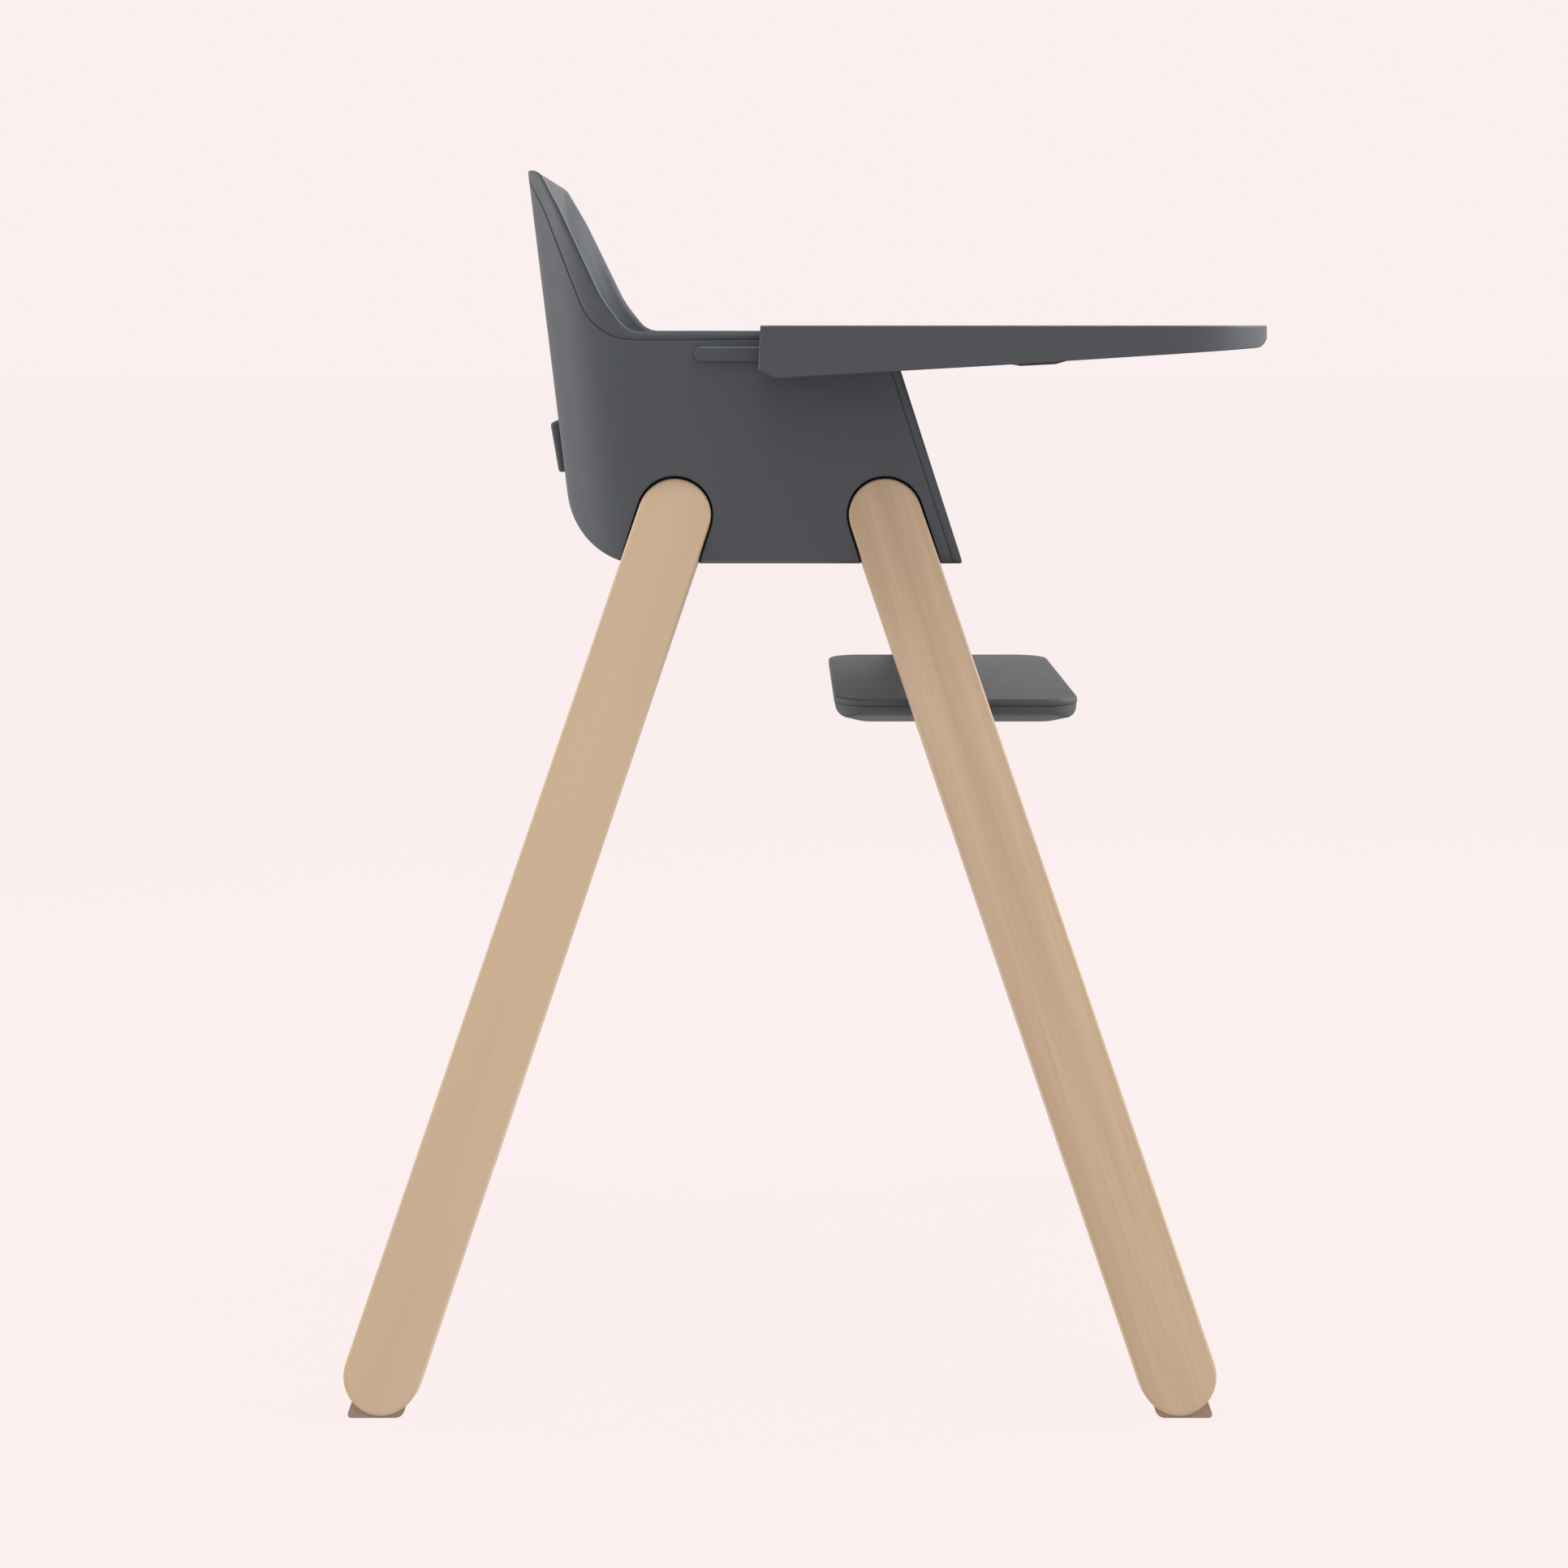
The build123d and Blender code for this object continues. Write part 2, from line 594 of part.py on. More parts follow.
# Side outline of the tray: slightly leaning rear end, rising underside, and a small step near the front edge
SKIRT_LINE = [
    (TRAY_REAR, TRAY_TOP),
    (TRAY_REAR - 1.7, 760.3),
    (-3.6, 754.2),
    (165.5, 763.9),
    (366.0, 776.7),
    (374.4, 783.6),
    (TRAY_FRONT, 784.2),
    (TRAY_FRONT, TRAY_TOP),
]
SKIRT_RADII = [0, 2.0, 6.0, 200.0, 14.0, 0, 0, 0]
COVER_LOW = TRAY_TOP - COVER_SIDE
COVER_INSET = TRAY_WALL + FIT_GAP
CHANNEL_LIP = SEAT_HALF + 0.8
CHANNEL_INNER = CHANNEL_LIP + RAIL_PROUD
CHANNEL_OUTER = CHANNEL_INNER + CHANNEL_WALL
CHANNEL_FLOOR = RAIL_LOW - RUN_CLEARANCE


def belly_cut(plane, inset):
    """The rounded recess at the rear edge that makes room for the child."""
    front = TRAY_REAR + BELLY_DEPTH + inset
    with BuildSketch(plane) as recess:
        with Locations(((BEHIND + front) / 2, 0)):
            Rectangle(front - BEHIND, 2 * (BELLY_HALF + inset))
        fillet(recess.vertices().group_by(Axis.X)[-1], BELLY_CORNER + inset)
    return recess.sketch


def tray_block(inset, low, high, rear_inset=0.0):
    """The tray's plan outline, with its belly recess, moved in by inset, between two heights."""
    rear = TRAY_REAR + rear_inset
    front = TRAY_FRONT - inset
    with BuildPart() as block:
        with BuildSketch(Plane.XY.offset(low)) as outline:
            with Locations(((rear + front) / 2, 0)):
                Rectangle(front - rear, 2 * (TRAY_HALF - inset))
            fillet(outline.vertices().group_by(Axis.X)[-1], TRAY_CORNER - inset)
            fillet(outline.vertices().group_by(Axis.X)[0], 4.5)
            add(belly_cut(Plane.XY.offset(low), inset), mode=Mode.SUBTRACT)
        extrude(amount=high - low)
    return block.part


def pan_block(inset, low, bottom_radius):
    """The tray's recessed pan, or the space in it: the tray outline moved in, ahead of the armrests."""
    with BuildPart() as block:
        add(tray_block(inset, low, TRAY_TOP + 10))
        ahead = (GROOVE_FRONT - 8 + inset - PAN_BORDER, FAR)
        add(slab(ahead, (-FAR, FAR), (UNDER_TRAY, ABOVE)), mode=Mode.INTERSECT)
        fillet(block.edges().filter_by(Axis.Z).group_by(Axis.X)[0], PAN_CORNER - inset)
        fillet(block.faces().sort_by(Axis.Z)[0].edges(), bottom_radius)
    return block.part


with BuildPart() as tray_base:
    add(tray_block(0, UNDER_TRAY, TRAY_TOP, rear_inset=-3))
    add(prism(SKIRT_LINE, SKIRT_RADII), mode=Mode.INTERSECT)
    fillet(tray_base.faces().sort_by(Axis.Z)[-1].edges(), 1.0)
    add(tray_block(TRAY_WALL, UNDER_TRAY, TRAY_DECK, rear_inset=TRAY_WALL), mode=Mode.SUBTRACT)
    deck_top = TRAY_DECK + TRAY_DECK_THICK
    add(tray_block(TRAY_WALL, deck_top, TRAY_TOP + 1, rear_inset=TRAY_WALL), mode=Mode.SUBTRACT)
    for _, side in SIDES:
        groove = (side * ARM_INNER, side * CHANNEL_LIP)
        add(slab((BEHIND, GROOVE_FRONT), groove, (UNDER_TRAY, ABOVE)), mode=Mode.SUBTRACT)
        channel_x = (TRAY_REAR + TRAY_WALL, RAIL_FRONT)
        low = CHANNEL_FLOOR - CHANNEL_PLATE
        add(slab(channel_x, (side * CHANNEL_INNER, side * CHANNEL_OUTER), (low, TRAY_DECK + 1)))
        add(slab(channel_x, (side * CHANNEL_LIP, side * CHANNEL_OUTER), (low, CHANNEL_FLOOR)))
        groove_end = (side * ARM_INNER, side * (SEAT_HALF + 6))
        add(slab((GROOVE_FRONT, GROOVE_FRONT + TRAY_WALL), groove_end, (768, TRAY_DECK + 1)))
        rail_space = (side * CHANNEL_LIP, side * CHANNEL_INNER)
        add(slab((TRAY_REAR - 10, TRAY_REAR + 10), rail_space, (CHANNEL_FLOOR, TRAY_DECK)), mode=Mode.SUBTRACT)
        window_x = (LATCH_X - LATCH_HALF - RUN_CLEARANCE, LATCH_X + LATCH_HALF + RUN_CLEARANCE)
        window_y = (side * (CHANNEL_INNER - 1), side * (CHANNEL_OUTER + 1))
        add(slab(window_x, window_y, (RAIL_MIDDLE - 3.3, RAIL_MIDDLE + 3.3)), mode=Mode.SUBTRACT)
    for x in (PADDLE_LINE[0][0] - 9, PADDLE_LINE[-1][0] + 13):
        add(slab((x - 1.5, x + 1.5), (-40, 40), (768, TRAY_DECK + 1)))
save(tray_base.part, "tray_base")

with BuildPart() as tray_cover:
    add(tray_block(COVER_INSET, COVER_LOW, TRAY_TOP, rear_inset=COVER_INSET))
    fillet(tray_cover.faces().sort_by(Axis.Z)[-1].edges(), 0.8)
    for _, side in SIDES:
        arm = (side * (ARM_INNER + 8), side * (SEAT_HALF + 1))
        add(slab((BEHIND, GROOVE_FRONT), arm, (UNDER_TRAY, TRAY_TOP - COVER_ARM)), mode=Mode.SUBTRACT)
    below_cover = slab((0, FAR), (-FAR, FAR), (UNDER_TRAY, COVER_LOW + 1))
    add(pan_block(PAN_BORDER, PAN_SURFACE - PAN_THICK, 4.0) & below_cover)
    add(pan_block(PAN_BORDER + PAN_THICK, PAN_SURFACE, 3.0), mode=Mode.SUBTRACT)
save(tray_cover.part, "tray_cover")

# ---------------------------------------------------------------- tray release

LATCH_TIP = SEAT_HALF + RAIL_PROUD - LATCH_GROOVE_DEPTH + 0.5
LATCH_HALF_HEIGHT = 2.1
PADDLE_TOP = PADDLE_LINE[0][1]
LINK_Z = (PADDLE_TOP, PADDLE_TOP + LINK_THICK)
LINK_MIDDLE = (LINK_INNER + LINK_OUTER) / 2
LINK_ARM = (PADDLE_LINE[0][0] + 18, PADDLE_LINE[0][0] + 28)

with BuildPart() as tray_release_paddle:
    add(prism(PADDLE_LINE, [0, 2.0, 2.0, 1.0, 0], half=PADDLE_HALF))
    finger_x = (PADDLE_LINE[0][0] + 3, PADDLE_LINE[-1][0] - 12)
    add(slab(finger_x, (-38, 38), (UNDER_TRAY, PADDLE_TOP - 3)), mode=Mode.SUBTRACT)
save(tray_release_paddle.part, "tray_release_paddle")

for name, side in SIDES:
    with BuildPart() as link:
        add(slab((LATCH_X - 14, LINK_ARM[1]), (side * LINK_INNER, side * LINK_OUTER), LINK_Z))
        add(slab(LINK_ARM, (side * 20, side * LINK_OUTER), LINK_Z))
        with BuildSketch(Plane.XY.offset(LINK_Z[0])):
            start = Vector(LATCH_X, side * LINK_MIDDLE)
            stop = start + Vector(-PADDLE_TRAVEL, side * LATCH_TRAVEL)
            SlotCenterPoint((start + stop) / 2, stop, 2 * (LINK_PIN_RADIUS + RUN_CLEARANCE))
        extrude(amount=LINK_THICK, mode=Mode.SUBTRACT)
    save(link.part, f"release_link_{name}")

    with BuildPart() as latch:
        latch_x = (LATCH_X - LATCH_HALF, LATCH_X + LATCH_HALF)
        latch_z = (RAIL_MIDDLE - LATCH_HALF_HEIGHT, RAIL_MIDDLE + LATCH_HALF_HEIGHT)
        add(slab(latch_x, (side * LATCH_TIP, side * (LINK_OUTER - 1)), latch_z))
        add(upright(LATCH_X, side * LINK_MIDDLE, LINK_PIN_RADIUS, RAIL_MIDDLE, LINK_Z[1] + 0.2))
    save(latch.part, f"tray_latch_{name}")

# ---------------------------------------------------------------- footrest

HULL_TOP = FOOTREST_TOP - FOOTREST_BAND - 0.05
FOOTREST_LOW = FOOTREST_TOP - FOOTREST_THICK
BAR_MIDDLE = FOOTREST_TOP - 11.2
CARRIER_LEVEL = BAR_MIDDLE + 4
CARRIER_X = leg_x(CARRIER_LEVEL)
CARRIER_INNER = FOOTREST_HALF + 1.6
FOOTREST_SCREWS = [(CARRIER_X + i * FOOTREST_SCREW_X, j * FOOTREST_SCREW_Y) for i in (-1, 1) for j in (-1, 1)]


def footrest_plate(inset, low, high):
    """The footrest's plan, a rectangle with rounded corners, between two heights."""
    length = FOOTREST_FRONT - FOOTREST_REAR - 2 * inset
    with BuildPart() as plate:
        with BuildSketch(Plane.XY.offset(low)):
            with Locations(((FOOTREST_REAR + FOOTREST_FRONT) / 2, 0)):
                RectangleRounded(length, 2 * (FOOTREST_HALF - inset), FOOTREST_CORNER - inset)
        extrude(amount=high - low)
    return plate.part


def hull_line(low_end, high_end, floor):
    """One view of the hull: upright at the top, then sweeping in to its full depth."""
    shoulder = HULL_TOP - HULL_SHOULDER
    return [
        (low_end, HULL_TOP),
        (low_end, shoulder),
        (low_end + HULL_SWEEP, floor),
        (high_end - HULL_SWEEP, floor),
        (high_end, shoulder),
        (high_end, HULL_TOP),
    ]


def hull_block(inset):
    """The footrest's underside, or the hollow in it: swept up towards all four edges."""
    ends = (FOOTREST_REAR + 0.6 + inset, FOOTREST_FRONT - 0.6 - inset)
    half = FOOTREST_HALF - 0.6 - inset
    floor = FOOTREST_LOW + inset
    radii = [0, 8.5, 50.0, 50.0, 8.5, 0]
    with BuildPart() as block:
        add(footrest_plate(0.6 + inset, FOOTREST_LOW - 10, HULL_TOP))
        add(prism(hull_line(*ends, floor), radii), mode=Mode.INTERSECT)
        add(cross_prism(hull_line(-half, half, floor), radii), mode=Mode.INTERSECT)
    return block.part


with BuildPart() as footrest_tread:
    add(footrest_plate(0, FOOTREST_TOP - FOOTREST_BAND, FOOTREST_TOP))
    fillet(footrest_tread.faces().sort_by(Axis.Z)[-1].edges(), 2.0)
    for x, y in FOOTREST_SCREWS:
        add(upright(x, y, 1.6, FOOTREST_LOW, FOOTREST_TOP - 1.5), mode=Mode.SUBTRACT)
save(footrest_tread.part, "footrest_tread")

hull_form = hull_block(0)
with BuildPart() as footrest_hull:
    add(hull_form)
    add(hull_block(HULL_WALL), mode=Mode.SUBTRACT)
    guide_x = BAR_HALF_X + RUN_CLEARANCE
    for _, side in SIDES:
        for sign in (-1, 1):
            rib_x = (CARRIER_X + sign * guide_x, CARRIER_X + sign * (guide_x + 2.5))
            rib = slab(rib_x, (side * (BAR_INNER - 6), side * FOOTREST_HALF), (FOOTREST_LOW + 1.5, HULL_TOP))
            add(rib & hull_form)
        bar_z = (BAR_MIDDLE - BAR_HALF_Z - RUN_CLEARANCE, BAR_MIDDLE + BAR_HALF_Z + RUN_CLEARANCE)
        bar_y = (side * (BAR_INNER + 4), side * (FOOTREST_HALF + 5))
        add(slab((CARRIER_X - guide_x, CARRIER_X + guide_x), bar_y, bar_z), mode=Mode.SUBTRACT)
    for x, y in FOOTREST_SCREWS:
        add(upright(x, y, 4.0, FOOTREST_LOW + 1.5, HULL_TOP))
        add(upright(x, y, 1.7, FOOTREST_LOW - 5, HULL_TOP), mode=Mode.SUBTRACT)
        add(upright(x, y, 3.2, FOOTREST_LOW - 5, FOOTREST_LOW + 3), mode=Mode.SUBTRACT)
save(footrest_hull.part, "footrest_hull")

footrest_screws = []
for x, y in FOOTREST_SCREWS:
    shank = upright(x, y, 1.5, FOOTREST_LOW + 1, FOOTREST_TOP - 2.5)
    footrest_screws.append(shank + upright(x, y, 3.0, FOOTREST_LOW + 0.6, FOOTREST_LOW + 2.9))
save_group(footrest_screws, "footrest_screws")

for name, side in SIDES:
    with BuildPart() as carrier:
        with BuildSketch(Plane.XZ.offset(-side * CARRIER_INNER)):
            with Locations((CARRIER_X, BAR_MIDDLE)):
                RectangleRounded(36, 15, 5)
        extrude(amount=-side * 60)
        add(board(1, side, 60, LEG_THICK + 0.6, 120), mode=Mode.INTERSECT)
        middle = Vector(*on_board(1, side, CARRIER_LEVEL))
        along = Vector(LEG_RUN, -up_board(side) * LEG_DROP).normalized()
        with BuildSketch(leg_plane(1, side, LEG_THICK - GUIDE_DEPTH + RUN_CLEARANCE)):
            SlotCenterPoint(middle, middle + along * 13, GUIDE_WIDTH - 2 * RUN_CLEARANCE)
        extrude(amount=-(GUIDE_DEPTH + 2))
    save(carrier.part, f"footrest_carrier_{name}")

    with BuildPart() as bar:
        bar_x = (CARRIER_X - BAR_HALF_X, CARRIER_X + BAR_HALF_X)
        bar_z = (BAR_MIDDLE - BAR_HALF_Z, BAR_MIDDLE + BAR_HALF_Z)
        add(slab(bar_x, (side * BAR_INNER, side * CARRIER_INNER), bar_z))
        fillet(bar.edges().filter_by(Axis.Y), 1.5)
    save(bar.part, f"footrest_bar_{name}")

# ---------------------------------------------------------------- crotch post

with BuildPart() as crotch_post:
    add(prism(POST_LINE, [0, 0, 9.0, 9.0], half=POST_HALF))
    fillet(crotch_post.edges().filter_by(GeomType.LINE).filter_by(lambda e: e.length > 60), 7.0)
    for x in POST_SCREWS:
        add(upright(x, 0, 2.5, BELOW, SEAT_SURFACE + 22), mode=Mode.SUBTRACT)
save(crotch_post.part, "crotch_post")

post_screws = []
for x in POST_SCREWS:
    head_top = SEAT_SURFACE - BUCKET_WALL - 0.05
    shank = upright(x, 0, 2.45, head_top - 1, SEAT_SURFACE + 20)
    post_screws.append(shank + upright(x, 0, 5.0, head_top - 3, head_top))
save_group(post_screws, "post_screws")

# ---------------------------------------------------------------- harness plate on the back

plate_line = [
    (back_x(PLATE_LOW) - 7.0, PLATE_LOW),
    (back_x(PLATE_HIGH) - 9.0, PLATE_HIGH),
    (back_x(PLATE_HIGH + 4) - 0.1, PLATE_HIGH + 4),
    (back_x(PLATE_LOW) - 0.1, PLATE_LOW),
]
pocket_low = LAP_SLOT_Z - 7
pocket_high = LAP_SLOT_Z + 7
pocket_line = [
    (back_x(pocket_low) - 2.2, pocket_low),
    (back_x(pocket_high) - 2.2, pocket_high),
    (0, pocket_high),
    (0, pocket_low),
]


def is_plate_end_edge(edge):
    """True for the long outer edges at the harness plate's two ends."""
    middle = edge.center()
    return abs(middle.Y) > PLATE_HALF - 1 and middle.X < back_x(PLATE_MIDDLE) - 4 and edge.length > 10


with BuildPart() as harness_plate:
    add(prism(plate_line, [2.5, 3.0, 1.0, 0], half=PLATE_HALF))
    fillet(harness_plate.edges().filter_by(is_plate_end_edge), 3.0)
    for _, side in SIDES:
        pocket_y = (side * LAP_SLOT_Y - 14, side * LAP_SLOT_Y + 14)
        pocket = slab((BEHIND, 0), pocket_y, (pocket_low + 1, pocket_high - 1)) & prism(pocket_line, 0)
        add(pocket, mode=Mode.SUBTRACT)
        add(plate_screw(side, SCREW_RADIUS + 0.1, -20, 20), mode=Mode.SUBTRACT)
        add(plate_screw(side, 2 * SCREW_RADIUS + 0.1, -20, -5), mode=Mode.SUBTRACT)
save(harness_plate.part, "harness_plate")

plate_screws = []
for _, side in SIDES:
    shank = plate_screw(side, SCREW_RADIUS, -6, SHELL_WALL - 0.1)
    plate_screws.append(shank + plate_screw(side, 2 * SCREW_RADIUS, -7.0, -5.02))
save_group(plate_screws, "harness_plate_screws")

# ---------------------------------------------------------------- harness webbing

LIFT = STRAP_THICK / 2 + 0.5
STRAP_Z = SEAT_SURFACE + LIFT
BUCKLE_LOW = SEAT_SURFACE + 0.6
BUCKLE_TOP = BUCKLE_LOW + BUCKLE_HEIGHT
ANCHOR_Z = SEAT_SURFACE - 10.0
CROTCH_ENTRY = BUCKLE_LOW + 6.0


def webbing(path):
    """Flat webbing: a thin rectangle, its width along Y at the start, carried along straight runs and arcs."""
    with BuildPart() as strap:
        with BuildSketch(Plane(origin=path @ 0, x_dir=(0, 1, 0), z_dir=path % 0)):
            Rectangle(STRAP_WIDTH, STRAP_THICK)
        sweep(path=path)
    return strap.part


def lap_path(side):
    """A lap strap's side-on route: out of its slot, down the back and forward along the seat."""
    y = side * LAP_SLOT_Y
    tilt = radians(BACK_TILT)
    outer = Vector(back_x(LAP_SLOT_Z) - 1.0, y, LAP_SLOT_Z)
    inner = outer + Vector(cos(tilt), 0, sin(tilt)) * (RIM_WALL + 1.0 + LIFT)
    heel = Vector(back_x(STRAP_Z) + RIM_WALL + LIFT, y, STRAP_Z)
    with BuildLine() as line:
        FilletPolyline(outer, inner, heel, (LAP_FRONT, y, STRAP_Z), radius=[4.0, SEAT_BEND - LIFT])
    return line.line


def seat_path(side):
    """A lap strap's route across the seat, from under its adjuster to its buckle tongue."""
    with BuildLine() as line:
        FilletPolyline(
            (LAP_FRONT - 0.5, side * LAP_SLOT_Y, STRAP_Z),
            (LAP_FRONT + 14, side * LAP_SLOT_Y, STRAP_Z),
            (TONGUE_X[0] - 12, side * TONGUE_Y, STRAP_Z),
            (TONGUE_X[0] + 3, side * TONGUE_Y, STRAP_Z),
            radius=[20.0, 20.0],
        )
    return line.line


for name, side in SIDES:
    y = side * TONGUE_Y
    with BuildPart() as strap:
        add(webbing(lap_path(side)))
        add(webbing(seat_path(side)))
    save(strap.part, f"lap_strap_{name}")

    with BuildPart() as tongue:
        with BuildSketch(Plane.XY.offset(BUCKLE_LOW + 2.6)):
            with Locations((sum(TONGUE_X) / 2, y)):
                RectangleRounded(TONGUE_X[1] - TONGUE_X[0], 2 * TONGUE_Y - 4, 3)
        extrude(amount=3.0)
        loop_bar = (STRAP_Z + 1.0, BUCKLE_LOW + 5.6)
        add(slab((TONGUE_X[0], TONGUE_X[0] + 7), (y - 12.8, y + 12.8), loop_bar))
    save(tongue.part, f"buckle_tongue_{name}")

    with BuildPart() as adjuster:
        strap_low = STRAP_Z - STRAP_THICK / 2
        with BuildSketch(Plane.XY.offset(strap_low - 0.3)):
            with Locations((LAP_FRONT - 18, side * LAP_SLOT_Y)):
                RectangleRounded(16, STRAP_WIDTH + 8, 4)
        extrude(amount=5.0)
        tunnel_half = STRAP_WIDTH / 2 + 0.6
        tunnel_y = (side * LAP_SLOT_Y - tunnel_half, side * LAP_SLOT_Y + tunnel_half)
        add(slab((-200, 0), tunnel_y, (strap_low - 1, STRAP_Z + STRAP_THICK / 2 + 0.25)), mode=Mode.SUBTRACT)
    save(adjuster.part, f"strap_adjuster_{name}")

with BuildLine() as crotch_route:
    FilletPolyline(
        (CROTCH_SLOT_X, 0, ANCHOR_Z),
        (CROTCH_SLOT_X, 0, CROTCH_ENTRY),
        (BUCKLE_X[1] - 3, 0, CROTCH_ENTRY),
        radius=4.0,
    )
save(webbing(crotch_route.line), "crotch_strap")
save(rod(Plane.XZ, (CROTCH_SLOT_X + 4.2, ANCHOR_Z + 0.5), 3.0, 22, -22), "crotch_strap_anchor")

# ---------------------------------------------------------------- buckle

BUTTON_X = sum(BUCKLE_X) / 2 + 3
BUTTON_FLOOR = BUCKLE_TOP - BUTTON_TRAVEL - 2.8

with BuildPart() as buckle:
    with BuildSketch(Plane.XY.offset(BUCKLE_LOW)):
        with Locations((sum(BUCKLE_X) / 2, 0)):
            RectangleRounded(BUCKLE_X[1] - BUCKLE_X[0], 2 * BUCKLE_HALF, 9)
    extrude(amount=BUCKLE_HEIGHT)
    fillet(buckle.faces().sort_by(Axis.Z)[-1].edges(), 3.0)
    for _, side in SIDES:
        mouth_y = (side * TONGUE_Y - TONGUE_Y + 1.6, side * TONGUE_Y + TONGUE_Y - 1.6)
        mouth = slab((-10, TONGUE_X[1] + 0.4), mouth_y, (BUCKLE_LOW + 2.2, BUCKLE_LOW + 6.0))
        add(mouth, mode=Mode.SUBTRACT)
    strap_y = STRAP_WIDTH / 2 + 0.4
    strap_mouth = slab((BUCKLE_X[1] - 3.4, 60), (-strap_y, strap_y), (CROTCH_ENTRY - 1.2, CROTCH_ENTRY + 1.2))
    add(strap_mouth, mode=Mode.SUBTRACT)
    add(upright(BUTTON_X, 0, BUTTON_RADIUS + 0.3, BUTTON_FLOOR, BUCKLE_TOP + 1), mode=Mode.SUBTRACT)
save(buckle.part, "buckle_housing")

with BuildPart() as button:
    add(upright(BUTTON_X, 0, BUTTON_RADIUS, BUCKLE_TOP - 2.0, BUCKLE_TOP + 1.2))
    fillet(button.faces().sort_by(Axis.Z)[-1].edges(), 1.0)
save(button.part, "buckle_button")
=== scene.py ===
"""Looks for the baby high chair: finishes for every CAD node, harness webbing, floor, lights and camera.

Metres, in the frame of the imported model: +X the child's forward direction, +Y the child's left, +Z up.
"""

import json
from math import pi, sqrt, tan

import bmesh
import bpy
import numpy as np
from mathutils import Matrix, Vector


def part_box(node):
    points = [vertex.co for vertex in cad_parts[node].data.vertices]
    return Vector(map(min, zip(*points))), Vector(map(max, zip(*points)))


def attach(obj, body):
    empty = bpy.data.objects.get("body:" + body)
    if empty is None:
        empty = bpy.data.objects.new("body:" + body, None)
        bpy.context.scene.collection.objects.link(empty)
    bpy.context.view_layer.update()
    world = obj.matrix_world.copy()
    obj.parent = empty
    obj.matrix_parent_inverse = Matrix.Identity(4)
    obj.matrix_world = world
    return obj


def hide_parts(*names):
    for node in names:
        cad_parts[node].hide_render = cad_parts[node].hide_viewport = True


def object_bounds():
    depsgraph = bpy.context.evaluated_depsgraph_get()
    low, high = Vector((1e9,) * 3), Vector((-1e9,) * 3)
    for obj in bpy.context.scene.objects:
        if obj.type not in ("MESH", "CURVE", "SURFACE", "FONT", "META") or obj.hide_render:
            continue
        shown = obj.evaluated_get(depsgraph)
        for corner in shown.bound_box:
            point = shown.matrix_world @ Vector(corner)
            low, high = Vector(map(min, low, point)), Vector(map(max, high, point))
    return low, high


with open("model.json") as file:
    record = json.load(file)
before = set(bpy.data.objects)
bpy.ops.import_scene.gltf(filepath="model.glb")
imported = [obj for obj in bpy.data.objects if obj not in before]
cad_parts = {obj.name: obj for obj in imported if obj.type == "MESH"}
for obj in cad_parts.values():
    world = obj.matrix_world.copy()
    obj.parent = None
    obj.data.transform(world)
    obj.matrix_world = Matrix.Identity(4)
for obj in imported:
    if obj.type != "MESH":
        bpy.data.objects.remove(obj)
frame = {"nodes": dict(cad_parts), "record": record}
CAD_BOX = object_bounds()

NODES = frame["nodes"]
FORWARD = Vector((1, 0, 0))
LEFT = Vector((0, 1, 0))

# ---------------------------------------------------------------- colours, in linear light

PAPER = (0.965, 0.871, 0.863)  # backdrop and floor
SHELL_GREY = (0.0450, 0.0575, 0.0660)
TRAY_GREY = (0.0440, 0.0555, 0.0638)
BUCKLE_GREY = (0.022, 0.024, 0.027)
BUTTON_GREY = (0.16, 0.165, 0.175)
BEECH = (0.440, 0.332, 0.213)
BEECH_DARK = (0.405, 0.295, 0.182)
BEECH_LIGHT = (0.520, 0.406, 0.268)
PORE = (0.31, 0.212, 0.128)
TAUPE = (0.315, 0.232, 0.172)
ZINC = (0.62, 0.62, 0.60)
BLACK_COAT = (0.016, 0.016, 0.018)
YARN = (0.040, 0.043, 0.049)
THREAD = (0.075, 0.080, 0.088)

YARN_LENGTH = 1.5  # of one crown of the weave along the webbing, in millimetres
YARN_WIDTH = 1.25


# ---------------------------------------------------------------- material graphs


